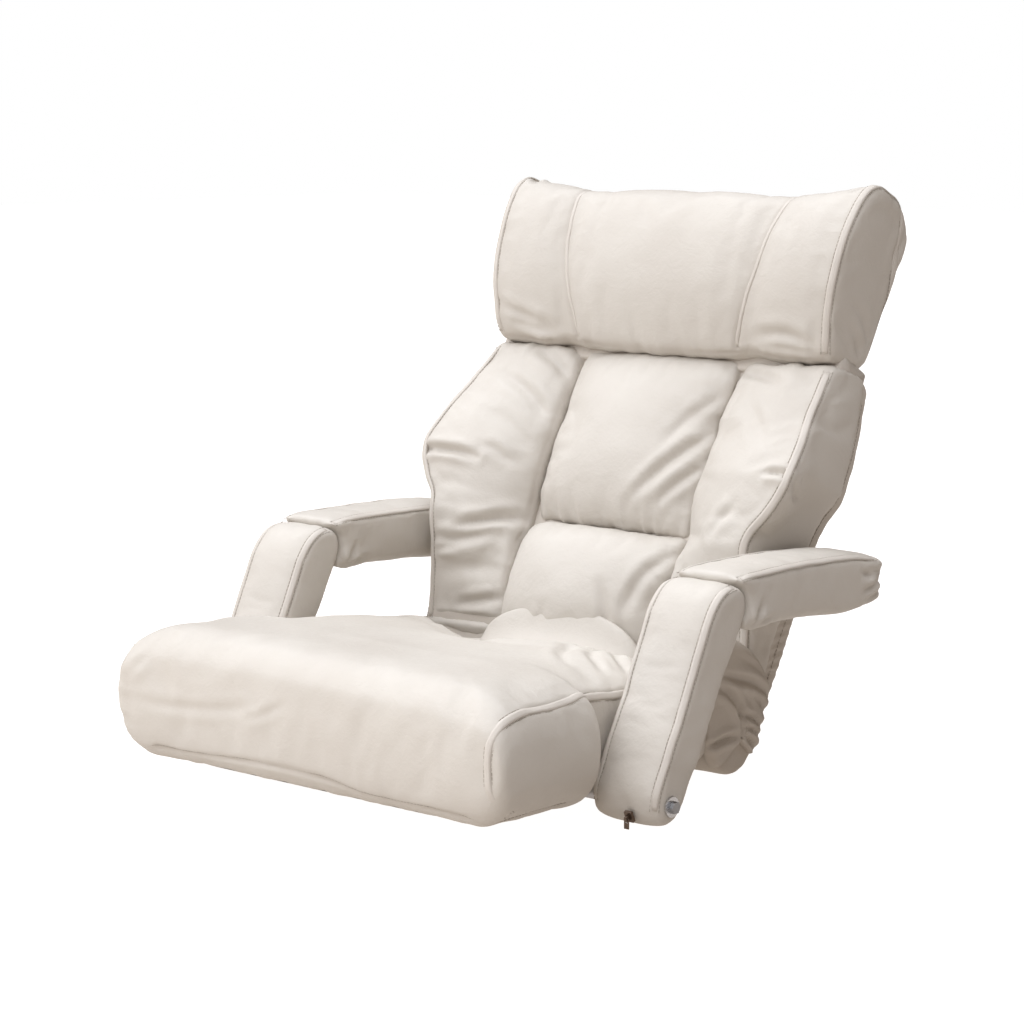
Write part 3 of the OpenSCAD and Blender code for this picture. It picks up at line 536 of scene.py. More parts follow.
def share_of(t, socket, share, rest, **more):
    """The share of one socket, added to another."""
    n = node(t, "ShaderNodeMath", [(socket, 0), (rest, 2)], operation="MULTIPLY_ADD", **more)
    n.inputs[1].default_value = share
    return n.outputs[0]


def tinted(t, factor, low, high):
    """A colour between two, by a factor."""
    mix = node(t, "ShaderNodeMix", [(factor, "Factor")], data_type="RGBA")
    mix.inputs[6].default_value, mix.inputs[7].default_value = (*low, 1), (*high, 1)
    return mix.outputs[2]


def bumped(t, height, strength, distance, links=()):
    links = [(height, "Height"), *links]
    return node(t, "ShaderNodeBump", links, Strength=strength, Distance=distance).outputs["Normal"]


def leather(name, light, dark, grain=1.0, roughness=0.5):
    m, t, b = shader(name, light, roughness, Specular_IOR_Level=0.42)
    place = place_in(t)
    sewn, gathered = [node(t, "ShaderNodeAttribute", attribute_name=word).outputs["Fac"]
                      for word in ("seam", "crease")]
    tone = ramp(t, clouds(t, place, 9.0, 4.0, Roughness=0.55), 0.0, 0.22)
    # Darker at random and along the seams, plus painted shade in the fold valleys from the crease attribute
    soil_and_crease_shade = share_of(t, gathered, 0.25, share_of(t, sewn, 0.45, tone), use_clamp=True)
    gloss = ramp(t, clouds(t, place, 160.0, 3.0), roughness - 0.06, roughness + 0.08)
    pebble, plates = [node(t, "ShaderNodeTexVoronoi", [(place, "Vector")], Scale=scale, feature="SMOOTH_F1",
                           Smoothness=soft).outputs["Distance"] for scale, soft in ((620.0, 0.6), (260.0, 0.8))]
    lines = clouds(t, place, 42.0, 5.0, Roughness=0.62, Distortion=0.8)
    small = bumped(t, share_of(t, pebble, 0.5, plates), 0.16 * grain, 0.0008)
    feed(t, b, Base_Color=tinted(t, soil_and_crease_shade, light, dark), Roughness=gloss,
         Normal=bumped(t, lines, 0.22, 0.0035, [(small, "Normal")]))
    return m


def metal(name, color, roughness, metallic=1.0):
    m, t, b = shader(name, color, roughness, metallic)
    place = place_in(t)
    stretch = node(t, "ShaderNodeMapping", [(place, "Vector")], Scale=(1.0, 9.0, 9.0)).outputs["Vector"]
    scratch = clouds(t, stretch, 60.0, 5.0)
    dull, bright = [0.8 * c for c in color], [min(1, 1.12 * c) for c in color]
    feed(t, b, Roughness=ramp(t, scratch, roughness - 0.08, roughness + 0.12),
         Base_Color=tinted(t, clouds(t, place, 140.0, 3.0), dull, bright), Normal=bumped(t, scratch, 0.12, 0.0005))
    return m


def woven(name, light, dark, pitch):
    m, t, b = shader(name, light, 0.85, Sheen_Weight=0.3, Sheen_Roughness=0.5)
    place = place_in(t)
    across, along = [node(t, "ShaderNodeTexWave", [(place, "Vector")], wave_type="BANDS", bands_direction=way,
                          Scale=1.0 / pitch / 3.14, Distortion=0.6).outputs["Fac"] for way in ("X", "DIAGONAL")]
    both = node(t, "ShaderNodeMath", [(across, 0), (along, 1)], operation="MULTIPLY").outputs[0]
    feed(t, b, Base_Color=tinted(t, both, dark, light), Normal=bumped(t, both, 0.5, 0.0006))
    return m


CREAM, SHADE = (0.60, 0.562, 0.508), (0.40, 0.348, 0.294)
cream = leather("cream_leather", CREAM, SHADE)
# A darker copy of the leather with a coarser grain: its darker colour is painted shade on the rear cover, the gussets
# and the head crease
under = leather("shaded_copy_leather", (0.57, 0.52, 0.46), (0.37, 0.315, 0.26), grain=1.2, roughness=0.55)
piping = leather("welt_leather", (0.61, 0.565, 0.51), (0.45, 0.40, 0.345), grain=0.7)
thread = woven("polyester_thread", (0.46, 0.41, 0.35), (0.32, 0.28, 0.23), 0.0006)
steel, spring, zinc, bronze, grey_steel, silver = [metal(*row) for row in (
    ("black_painted_steel", (0.06, 0.06, 0.065), 0.42, 0.3), ("bare_spring_steel", (0.42, 0.42, 0.43), 0.34),
    ("zinc_plate", (0.66, 0.66, 0.68), 0.36), ("dark_bronze", (0.20, 0.15, 0.12), 0.38),
    ("grey_bolt_steel", (0.36, 0.36, 0.37), 0.34), ("nickel_washer", (0.70, 0.70, 0.71), 0.26))]
belt = woven("elastic_webbing", (0.13, 0.13, 0.14), (0.03, 0.03, 0.035), 0.0016)
lining = woven("bottom_lining", (0.58, 0.56, 0.52), (0.40, 0.38, 0.35), 0.0022)


def dress(piece, material):
    piece.data.materials.clear()
    piece.data.materials.append(material)
    piece.data.polygons.foreach_set("use_smooth", [True] * len(piece.data.polygons))
    return piece


finish_of = {"frame": steel, "webbing": belt, "plates": zinc, "rivets": zinc, "pawl": spring, "sector": zinc,
             "spring": spring, "pin": zinc, "bolt": grey_steel, "sleeves": zinc, "fixings": silver,
             "slider": bronze, "pull": bronze, "panel": lining}
for name, piece in nodes.items():
    for word, material in finish_of.items():
        if word in name:
            for slot in piece.material_slots:
                slot.material = material
print("materials:", len(bpy.data.materials))

# %% [markdown]
# ## Finishing a cover
# Each finished cover gets its leather, takes the place of its plain solid and rides on its body. Welts and
# stitches ride on the same body.

# %% From a stuffed form to a finished piece
threads = {}


def upholster(piece, body, replaced, material=cream):
    dress(piece, material)
    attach(piece, body)
    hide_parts(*replaced)
    print(piece.name, len(piece.data.polygons), "faces")
    return piece


def welt(name, piece, body, path, half=0.0044, high=0.0023, rows=(-1, 1)):
    """A folded welt on the leather, with a row of stitches along its edges."""
    on, up, side = lay(piece, path)
    strip = dress(ribbon(name, on, up, half, high), piping)
    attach(strip, body)
    for r in rows:
        threads.setdefault(body, []).append(on + r * (half + 0.0008) * side + 0.0001 * up)


def topstitch(piece, body, path, offset=0.0):
    on, up, side = lay(piece, path)
    threads.setdefault(body, []).append(on + offset * side + 0.0003 * up)


print("finish helpers ready")

# %% [markdown]
# ## The seat
# A thick slab, widest in front of the armrests and narrower between them. Its top is crowned, and near the
# back a curved channel is drawn down into the foam. The side panels meet the top in a folded welt that turns
# down at the front corners.

# %% Seat form
FRONT, WAIST = 0.263, -0.102
WIDE, NARROW = 0.275, 0.246


def seat_half(y):
    wide = WIDE - 0.5 * roll(y + FRONT, 0.016)
    s = (y - WAIST) / 0.024
    return NARROW if s >= 0 else wide if s <= -1 else NARROW + (wide - NARROW) * math.sqrt(1 - (1 + s) ** 2)


def seat_edge(y):
    return 0.139 - 0.8 * roll(y + FRONT, 0.036) - 0.1 * max(0, y + 0.150) - 0.4 * max(0, y) ** 2


def channel_y(x):
    return 0.081 + 0.042 * np.minimum(1, np.abs(x) / 0.105) ** 2


def seat_top(x, y):
    s = min(1, abs(x) / seat_half(y))
    crown = 0.025 * (1 - s**8) * (1 - 0.35 * bump(y + FRONT, 0.030) ** 2)
    e = y - channel_y(x)
    deep = 0.036 * max(0, 1 - (x / 0.185) ** 2) * bump(e, 0.062 if e < 0 else 0.028)
    return seat_edge(y) + crown - deep - 0.012 * x


# How far the side stands out, and how much of the swell it has, from its bottom to its top edge
side_shape = np.array([(0, -0.030, 0), (0.05, -0.014, 0), (0.15, -0.004, 0.3), (0.32, 0, 0.8), (0.54, 0, 1),
                       (0.76, -0.001, 0.9), (0.92, -0.003, 0.5), (1.01, -0.005, 0)])
side_at = np.array([0, 0.03, 0.07, 0.12, 0.18, 0.26, 0.35, 0.45, 0.55, 0.66, 0.78, 0.88, 0.96, 1.01])


def seat_ring(y):
    h, edge = seat_half(y), seat_edge(y)
    low = 0.0217 + 1.5 * roll(y + FRONT, 0.020)
    swell = 0.013 * min(1, max(0, (h - NARROW) / 0.008))
    out = [np.interp(side_at, side_shape[:, 0], side_shape[:, k]) for k in (1, 2)]
    side = [(h + a + swell * c, low + t * (edge - low)) for t, a, c in zip(side_at, *out)]
    board = 0.003 if -0.150 < y < 0.120 else low
    under = [(x, board) for x in (0.03, 0.09, 0.14, 0.175)] + [(0.181, 0.5 * (board + low)), (0.190, low)]
    top = [(s * h, seat_top(s * h, y)) for s in np.linspace(0.975, 0.02, 30)]

    def back(z):
        return y + (0.012 * min(1, max(0, (z - 0.05) / 0.035)) * (y - 0.06) / 0.045 if y > 0.06 else 0)

    right = under + side + top
    # The left side stands a little higher
    left = [(-x, z + 0.024 * x * smooth((z - 0.03) / 0.1)) for x, z in right[::-1]]
    return [(x, back(z), z) for x, z in right + left]


rows = [-FRONT + 0.030 * (1 - math.cos(math.radians(a))) for a in range(0, 90, 9)]
rows += list(np.arange(-0.232, 0.100, 0.006)) + [0.104, 0.108]
seat = skin("seat_cover", [seat_ring(y) for y in rows])

seat_side = np.array([(266, -238, 45), (267, -250, 60), (267, -256, 95), (267, -252, 115), (267, -238, 128),
                      (270, -205, 136), (271, -175, 137), (266, -140, 135), (256, -114, 132), (246, -95, 130),
                      (244, -40, 125), (244, 30, 118), (243, 100, 108)]) / 1000
seat_low = np.array([(265, -150, 34), (262, -215, 34), (247, -249, 34), (200, -259, 33), (100, -262, 32),
                     (40, -262, 41), (-57, -262, 43), (-182, -262, 35), (-235, -252, 37), (-262, -215, 36),
                     (-265, -150, 34)]) / 1000
channel = [(x, float(channel_y(x)), seat_top(x, channel_y(x))) for x in np.linspace(-0.165, 0.165, 27)]
stuff_and_sew(seat, 0.0062, [
    seam(seat_side, 0.0028, 0.0016, 0.030, 0.020),
    seam(seat_side * MIRROR, 0.0010, 0.0022, 0.022, 0.022),
    seam(seat_low, 0.0022, 0.0010, 0.040, 0.016, width=0.003),
    seam(channel, 0.005, 0.0050, 0.034, 0.026, width=0.007),
], 0.0012, 3, grow=0.035, cap=0.012, pin=0.005, plump=0.15)
press(seat, by_hand([
    ([(-262, -258, 86), (-200, -264, 85), (-120, -264, 92), (-60, -264, 104)], 1.6, 5),
    ([(-20, -262, 110), (-50, -264, 96), (-75, -264, 88)], 1.4, 4),
    ([(-264, -240, 120), (-240, -225, 142), (-215, -205, 150)], 3, 5),
    ([(-270, -250, 105), (-250, -258, 120), (-235, -250, 132)], 3, 5),
    ([(20, 30, 140), (50, 14, 142), (76, 22, 140), (92, 42, 136), (98, 80, 128), (120, 108, 126)], 13, 8),
    ([(92, 44, 136), (125, 56, 138), (160, 74, 136)], 6, 6),
    ([(150, 66, 138), (185, 30, 142), (225, 0, 140)], 4, 4.5),
    ([(160, 78, 136), (200, 50, 138), (236, 30, 132)], 4, 4.5),
    ([(130, 52, 142), (168, 6, 146), (215, -30, 146)], 3.4, 5),
    ([(108, 40, 142), (140, -10, 150), (180, -50, 152)], 2.6, 6),
    ([(170, 92, 132), (205, 78, 132), (236, 66, 128)], 4, 4.5),
]))
upholster(seat, "seat", ["seat_cushion", "seat_base_pad"])
for side, path in (("right", seat_side), ("left", (seat_side * MIRROR)[4:])):
    welt("seat_welt_" + side, seat, "seat", path)
topstitch(seat, "seat", seat_low, 0.002)

# %% [markdown]
# ## The back
# Two pads in the middle, one above the other, sit between two wings. The wings stand out furthest at the
# height of the waist and fall back towards the shoulders. Behind them is the smooth rear cover.

# %% Middle pads
BACK_H, PAD_LOW, PAD_SEAM, INNER = 0.426, 0.060, 0.208, 0.0113
PAD_HALF = 0.116


def half_width(w):
    return float(np.interp(w, [0.200, 0.235, 0.262, 0.290, 0.340, BACK_H], [0.243, 0.246, 0.251, 0.265, 0.266, 0.254]))


def pad_ring(w, low, high, deep):
    t = (w - low) / (high - low)
    rise = max(0.0, 4 * t * (1 - t)) ** 0.45
    x1 = PAD_HALF - 0.005 * (1 - rise) ** 1.5
    rim = 0.012 * min(1, 0.35 + rise)
    front = [(s * x1, -(INNER + rim + (deep - INNER - 0.012) * rise * (1 - s * s) ** 0.5), w)
             for s in np.sin(np.linspace(0.5, -0.5, 26) * math.pi)]
    return [(-x1, -INNER, w), (x1, -INNER, w)] + front


def middle_pad(name, low, high, deep, folds, seed):
    steps = (1 - np.cos(np.linspace(0, math.pi, 26))) / 2
    piece = skin(name, [on_back(pad_ring(low + t * (high - low), low, high, deep)) for t in steps])
    edge = 0.022
    right = on_back([(0.115, -edge, low + 0.012), (PAD_HALF, -edge - 0.002, 0.5 * (low + high)),
                     (0.115, -edge, high - 0.012)])
    left = right * MIRROR
    top, bottom = [on_back([(x, -0.016, w) for x in (-0.112, -0.06, 0, 0.06, 0.112)]) for w in (high, low)]
    stuff_and_sew(piece, 0.005, [
        seam(right, 0.001, 0.0026, 0.042, 0.030),
        seam(left, 0.001, 0.0018, 0.040, 0.022),
        seam(top, 0.001, 0.0016, 0.034, 0.020),
        seam(bottom, 0.001, 0.0022, 0.030, 0.028),
    ], 0.0014, seed, grow=0.05, cap=0.012)
    press(piece, by_hand(folds, on_back))
    upholster(piece, "back", [name])


middle_pad("upper_pad", PAD_SEAM + 0.0003, BACK_H, 0.058, [
    ([(112, -34, 330), (80, -50, 290), (45, -56, 245), (30, -50, 225)], 4.5, 6),
    ([(113, -34, 290), (95, -46, 265), (70, -50, 232)], 4, 5),
    ([(110, -36, 375), (85, -48, 345), (65, -55, 310)], 2.5, 6),
], seed=21)
middle_pad("lumbar_pad", PAD_LOW, PAD_SEAM - 0.0003, 0.070, [
    ([(112, -34, 185), (92, -50, 150), (85, -56, 110)], 3.5, 6),
    ([(60, -40, 70), (62, -58, 100), (50, -68, 130)], 3, 6),
    ([(-30, -40, 70), (-22, -60, 98)], 3, 6),
], seed=27)

# %% Wings
WING_LOW, WING_IN = 0.058, 0.1163


def wing_edge(w):
    return float(np.interp(w, [WING_LOW, 0.083, 0.140, 0.190, 0.234, 0.277, 0.345, BACK_H],
                           [0.016, 0.017, 0.044, 0.0747, 0.0797, 0.0830, 0.0614, 0.036]))


def wing_half(w):
    """Half width over the front edges, which stand out above the forearms."""
    out = np.interp(w, [0.200, 0.217, 0.234, 0.255, 0.277, 0.300, 0.345, BACK_H],
                    [0.0, 0.250, 0.261, 0.2711, 0.274, 0.2723, 0.2644, 0.0])
    return max(half_width(w) - 0.004, float(out))


def wing_inner(w):
    return INNER + 0.010 + 0.018 * float((1 - bump(w - WING_LOW, 0.05)) * (1 - bump(w - BACK_H, 0.04))
                                        * (1 - 0.7 * bump(w - PAD_SEAM, 0.022)))


def wing_ring(w):
    x0, x1, x2 = WING_IN, wing_half(w), half_width(w) + 0.001
    deep = wing_edge(w)
    shallow = min(deep, wing_inner(w))
    thin = INNER + 0.002
    trim = max(0, float(roll(w - WING_LOW, 0.012)), float(roll(BACK_H - w, 0.010)))
    # The side panel runs on to the rear, over the rear cover's side
    ring = [(x0, -INNER), (x2 - 0.018, -INNER), (x2 - 0.016, 0.016), (x2 - 0.004, 0.0215), (x2 - 0.0005, 0.019),
            (x2, 0.0)]
    rear = len(ring)
    ring += [(x2 + k * (x1 - x2), -INNER - t * (deep - INNER))
             for k, t in ((0.02, 0.2), (0.2, 0.4), (0.55, 0.6), (0.9, 0.8))]
    ring += [(x1 - 0.002, -deep + 0.003), (x1 - 0.007, -deep)]
    ring += [(x0 + s * (x1 - 0.013 - x0), -(shallow + (deep - shallow) * math.sin(math.pi / 2 * s**0.85)))
             for s in np.linspace(0.97, 0.08, 18)]
    ring += [(x0 + 0.001, -shallow + 0.003)]
    return [(x, v if i < rear else min(-thin, v + trim), w) for i, (x, v) in enumerate(ring)]


def wing(name, side, folds, seed):
    flip = np.array([side, 1, 1])
    steps = np.linspace(0, 1, 52) * 0.9 + 0.05 * (1 - np.cos(np.linspace(0, math.pi, 52)))
    steps = WING_LOW + (BACK_H - WING_LOW) * steps
    piece = skin(name, [on_back(wing_ring(w)) * flip for w in steps])
    outer = on_back([(wing_half(w) - 0.005, -wing_edge(w), w) for w in np.linspace(0.075, 0.414, 12)]) * flip
    inner = on_back([(0.118, -wing_inner(w), w) for w in np.linspace(0.07, 0.41, 12)]) * flip
    top, low = [on_back([(x, v, w) for x in (0.13, 0.18, 0.235)]) * flip
                for v, w in ((-0.022, BACK_H), (-0.014, PAD_LOW))]
    stuff_and_sew(piece, 0.0052, [
        seam(outer, 0.0014, 0.0010, 0.045, 0.020), seam(inner, 0.0010, 0.0016, 0.050, 0.026),
        seam(top, 0.0010, 0.0022, 0.032, 0.030), seam(low, 0.0010, 0.0022, 0.032, 0.026),
    ], 0.0018, seed, grow=0.06, cap=0.014)
    press(piece, by_hand(folds, lambda p: on_back(p) * flip))
    upholster(piece, "back", ["side_bolster_" + ("right" if side > 0 else "left")])
    welt(name + "_welt", piece, "back", outer)


# The folds of each wing by its own [x, v, w] in mm, the outer pinch first
wing("wing_right", 1, [
    ([(268, -70, 270), (262, -83, 277), (250, -84, 277), (236, -83, 275)], 5.5, 4),
    ([(268, -72, 268), (266, -58, 262), (263, -44, 262)], 2.5, 5),
    ([(208, -77, 238), (193, -73, 220), (185, -71, 202)], 3, 6),
    ([(119, -26, 411), (154, -36, 404), (198, -45, 393)], 3.5, 6),
    ([(152, -46, 370), (187, -58, 344), (217, -71, 312)], 2, 8),
], seed=31)
wing("wing_left", -1, [
    ([(268, -70, 262), (255, -83, 262), (241, -83, 263), (212, -80, 263), (187, -74, 260)], 6, 4.5),
    ([(186, -74, 275), (168, -68, 274), (148, -60, 264)], 2.2, 5),
    ([(190, -66, 176), (175, -64, 181), (160, -60, 187), (142, -52, 196), (122, -36, 202)], 7.5, 6),
    ([(228, -62, 158), (203, -58, 160), (173, -58, 167), (137, -51, 180)], 5.5, 6),
    ([(230, -52, 146), (207, -52, 152), (190, -52, 154)], 3, 4),
    ([(224, -40, 126), (172, -42, 134), (128, -42, 142)], 2.5, 8),
    ([(185, -24, 94), (160, -26, 100), (139, -29, 103), (118, -30, 106)], 4.5, 5),
    ([(226, -19, 77), (193, -19, 79), (154, -19, 81), (120, -19, 80)], 4.5, 4),
    ([(184, -37, 417), (160, -37, 405), (141, -37, 396), (120, -36, 381)], 4.5, 7),
    ([(207, -52, 375), (159, -53, 353), (123, -45, 325)], 4, 7),
    ([(200, -66, 323), (166, -62, 310), (127, -49, 283)], 2.5, 9),
], seed=41)

# %% [markdown]
# ## The rear cover
# One smooth cover wraps the frame from behind. It turns under in a roll that lies on the floor and carries
# the weight when the back is down. The wings' side panels lie over its sides, and a gathered band runs down
# the rear edge of each side.

# %% Rear cover
BACK_REAR, SHOULDER = 0.042, 0.262


def cover_rear(w):
    if w < 0:
        return math.sqrt(max(0, BACK_REAR**2 - w * w))
    fuller = 0.006 * math.sin(math.pi * min(1, w / 0.30))
    slope = (BACK_REAR - 0.038) * max(0, (w - SHOULDER) / (BACK_H - SHOULDER)) ** 2
    return BACK_REAR + fuller - slope - float(roll(BACK_H - w, 0.009))


def cover_ring(w):
    x1 = half_width(max(w, 0)) - 0.0015
    f = max(INNER - 0.001, math.sqrt(max(0, BACK_REAR**2 - w * w)) if w < BACK_REAR else 0)
    r = cover_rear(w)
    f = min(f, r if w < 0 else BACK_REAR)
    c = min(0.010, (f + r) / 3)
    corner = [(x1 - c * (1 - math.cos(a)), r - c * (1 - math.sin(a))) for a in np.linspace(0, math.pi / 2, 7)]
    sunk = 0.008 * smooth((w - 0.06) / 0.03)
    right = [(x1 - 0.006, -f - sunk), (x1 - 0.0035, -f - 0.5 * sunk), (x1 - 0.001, 0.002 - f), (x1, 0.010 - f)]
    right += corner + [(s * (x1 - 0.016), r + 0.001) for s in np.linspace(0.98, 0.02, 16)]
    return [(x, v, w) for x, v in right] + [(-x, v, w) for x, v in right[::-1]]


heights = list(-BACK_REAR * np.cos(np.radians(np.arange(8, 90, 9)))) + list(np.arange(0.0, 0.402, 0.008))
heights += [0.408, 0.413, 0.418, 0.422, BACK_H]
rear = skin("rear_cover", [on_back(cover_ring(w)) for w in heights])
rear_edge = on_back([(half_width(w) - 0.004, cover_rear(w) - 0.004, w) for w in np.linspace(0.0, 0.41, 14)])
band = on_back([(half_width(w) + 0.001, 0.0245, w) for w in np.linspace(0.02, 0.40, 14)])
stuff(rear, 0.0060, [rear_edge, rear_edge * MIRROR, on_back([(x, 0.018, BACK_H) for x in (-0.24, 0, 0.24)])],
      grow=0.02, pressure=2.0, cap=0.007)
sew(rear, [seam(path, 0.0010, 0.0004, 0.030, 0.010) for path in (rear_edge, rear_edge * MIRROR)],
    soft=0.0012, seed=51)
# The gathered band between the side panel and the rear, low on each side
for k in (-1, 1):
    press(rear, [(on_back([(k * half_width(w), v, w + up) for v, up in ((0.018, -0.008), (0.028, 0), (0.037, 0.008))]),
                  0.0024, 0.0030) for w in np.arange(0.020, 0.190, 0.0125)])
# The rear cover takes the darker copy of the leather, painted shade
upholster(rear, "back", ["back_rear_cover"], material=under)
for path in (band, band * MIRROR):
    topstitch(rear, "back", path)

# %% [markdown]
# ## The head cushion
# A wide roll in one long cover. Two seams run over it from front to rear, and its ends are closed by side
# panels with a welt. At the top corners the filling doesn't reach, so the leather stands up in small ears.

# %% Head cushion
HEAD_W, HEAD_H, CREASE_W, EAR = 0.518, 0.197, 0.490, 0.013
head_side = np.array([(-26, 8), (-12, 6), (0, 6), (14, 6), (30, 7), (41, 20), (45, 44), (49, 70), (54, 95), (60, 120),
                      (65, 142), (65, 160), (57, 178), (40, 190), (18, 195), (-4, 197), (-19, 194), (-31, 185),
                      (-40, 167), (-48, 145), (-52, 120), (-53, 95), (-51, 72), (-46, 50), (-39, 30), (-33, 15)]) / 1000


def closed_path(outline, count):
    p = np.vstack([outline, outline[:1]])
    s = np.concatenate([[0], np.cumsum(np.linalg.norm(np.diff(p, axis=0), axis=1))])
    at = np.linspace(0, s[-1], count, endpoint=False)
    q = np.column_stack([np.interp(at, s, p[:, k]) for k in range(2)])
    for k in range(3):
        q = 0.25 * np.roll(q, 1, 0) + 0.5 * q + 0.25 * np.roll(q, -1, 0)
    return q


def shrunk(outline, d):
    """The outline moved inwards by d. The points run anticlockwise."""
    t = np.roll(outline, -1, 0) - np.roll(outline, 1, 0)
    t /= np.linalg.norm(t, axis=1, keepdims=True)
    return outline + d * np.column_stack([-t[:, 1], t[:, 0]])


def slab(name, outline, stations, place, count=96):
    """A soft slab: an outline carried across x through stations [x, how far its outline is drawn in]."""
    outline = closed_path(outline, count)
    return skin(name, [place(x, shrunk(outline, d)) for x, d in stations])


def widened(x, ring):
    """The head cushion widens with height, and its top corners stand up as ears."""
    t = np.clip(ring[:, 1] / HEAD_H, 0, 1)
    x = x * (1 + (HEAD_W / CREASE_W - 1) * t)
    ear = EAR * np.abs(x / 0.255) ** 5 * t**4
    return on_head(np.column_stack([x, ring[:, 0], ring[:, 1] + ear]))


half = [(0.2495, 0.010), (0.249, 0.006), (0.247, 0.0028), (0.243, 0.001), (0.236, 0.000), (0.215, -0.001),
        (0.18, -0.002), (0.155, 0.000), (0.146, 0.0012), (0.136, 0.002), (0.126, 0.0012), (0.115, 0.0),
        (0.08, -0.003), (0.04, -0.004)]
stations = [(-x, d) for x, d in half] + [(0, -0.004)] + half[::-1]
head = slab("head_cover", head_side, stations, widened, 120)


def over_head(x, low, high):
    """A line over the head cushion's front and top. x is given for its bottom, middle and top."""
    ring = head_side[(head_side[:, 1] >= low) & (head_side[:, 0] < high)][::-1]
    return widened(np.interp(ring[:, 1], [0.02, 0.10, 0.19], x), ring)


head_edge = over_head([0.241, 0.243, 0.243], 0.012, 0.052)
head_seam = over_head([0.118, 0.136, 0.147], 0.012, 0.045)
head_low = on_head([(x, -0.028, 0.010) for x in (-0.236, -0.12, 0, 0.12, 0.236)])
stuff_and_sew(head, 0.0060, [
    *[seam(path, 0.0012, 0.0008, 0.034, 0.016) for path in (head_edge, head_edge * MIRROR)],
    *[seam(path, 0.0034, 0.0004, 0.04, 0.010, width=0.0030) for path in (head_seam, head_seam * MIRROR)],
    seam(head_low, 0.0010, 0.0020, 0.034, 0.022),
], 0.0011, 61, grow=0.035, cap=0.010, plump=0.2)
press(head, by_hand([
    ([(225, -36, 24), (190, -40, 34), (150, -40, 30)], 3.5, 6),
    ([(235, -34, 12), (180, -38, 18), (135, -38, 14)], 3, 4),
    ([(-238, -38, 50), (-200, -40, 36), (-150, -38, 20)], 4, 6),
    ([(-236, -34, 34), (-190, -38, 22), (-135, -38, 12)], 3, 4),
    ([(236, -22, 204), (250, 0, 206), (257, 20, 196)], 4.5, 4.5),
    ([(258, 50, 172), (259, 46, 150), (256, 40, 136)], 3, 5),
    ([(252, -10, 75), (252, 10, 62), (250, 30, 40)], 2.2, 6),
    ([(250, -6, 50), (250, 10, 36), (248, 22, 18)], 2.6, 5),
    ([(-236, -22, 204), (-250, 0, 206), (-257, 20, 196)], 4, 4.5),
], on_head))
upholster(head, "head", ["head_pillow"])
for side, k in (("right", 1), ("left", -1)):
    s = np.array([k, 1, 1])
    welt("head_welt_" + side, head, "head", head_edge * s)
    welt("head_seam_" + side, head, "head", head_seam * s, half=0.0024, high=0.0013, rows=(k,))

# %% [markdown]
# ## The armrests
# Each armrest is two covers over steel bars: a post that stands on the seat's side, and a forearm that ends
# behind the back. Both have a welt along their upper edges. The forearm's front is cut hollow, so that the
# post's round head can turn in it.

# %% Post and forearm outlines, as [y, z]
ARM_IN, ARM_OUT = 0.251, 0.342
UP = np.array([math.sin(LEAN), math.cos(LEAN)])
FORE = np.array([math.cos(LEAN), -math.sin(LEAN)])


def by_post(along, rear):
    """A point of the post: distance up from the lower pivot, and behind the line of the pivots."""
    return POST + along * UP + rear * FORE


post_side = np.array([by_post(a, r) for a, r in [
    (-0.023, 0.000), (-0.021, -0.011), (-0.012, -0.020), (0.004, -0.0245), (0.03, -0.0245), (0.06, -0.0245),
    (0.09, -0.0245), (0.12, -0.0248), (0.15, -0.0262), (0.175, -0.0275), (0.196, -0.0272), (0.213, -0.0240),
    (0.228, -0.0160), (0.2375, -0.0040), (0.239, 0.008), (0.235, 0.018), (0.226, 0.0255), (0.212, 0.0285),
    (0.195, 0.0285), (0.16, 0.0285), (0.12, 0.028), (0.08, 0.028), (0.04, 0.027), (0.01, 0.0245),
    (-0.010, 0.019), (-0.020, 0.010)]])[::-1]
TOP, LOW, END = ELBOW[1] + 0.030, ELBOW[1] - 0.026, REAR[0] + 0.042
FRONT_END, PIN = ELBOW[0], REAR[0]


def spots(*rows):
    """Points of the forearm, from rows of an anchor in y, mm behind it, an anchor in z and mm above it."""
    return [(y + a / 1000, z + b / 1000) for y, a, z, b in rows]


hollow_arc = [ELBOW + 0.0295 * np.array([math.cos(math.radians(a)), math.sin(math.radians(a))])
              for a in range(-50, 75, 12)]
fore_side = np.array(spots(
    (FRONT_END, 22, LOW, 0), (FRONT_END, 50, LOW, -1), (FRONT_END, 100, LOW, -1), (FRONT_END, 160, LOW, -3),
    (PIN, -30, LOW, -7), (PIN, -5, LOW, -5), (END, -24, LOW, 1), (END, -10, LOW, 2), (END, -5, LOW, 7),
    (END, -11, LOW, 14), (END, -16, LOW, 22), (END, -14, LOW, 29), (END, -4, TOP, -23), (END, 0, TOP, -17),
    (END, -4, TOP, -10), (END, -20, TOP, -5), (PIN, -20, TOP, 0), (PIN, -70, TOP, 2), (FRONT_END, 100, TOP, 3),
    (FRONT_END, 50, TOP, 2), (FRONT_END, 18, TOP, 0)) + hollow_arc[::-1])
across = [(ARM_IN + t, d) for t, d in ((0.0005, 0.012), (0.001, 0.008), (0.0025, 0.004), (0.006, 0.0015), (0.014, 0.0))]
across += [(ARM_IN + t, -0.001) for t in (0.024, 0.036, 0.0455, 0.055, 0.067)]
across += [(ARM_IN + ARM_OUT - x, d) for x, d in across[4::-1]]


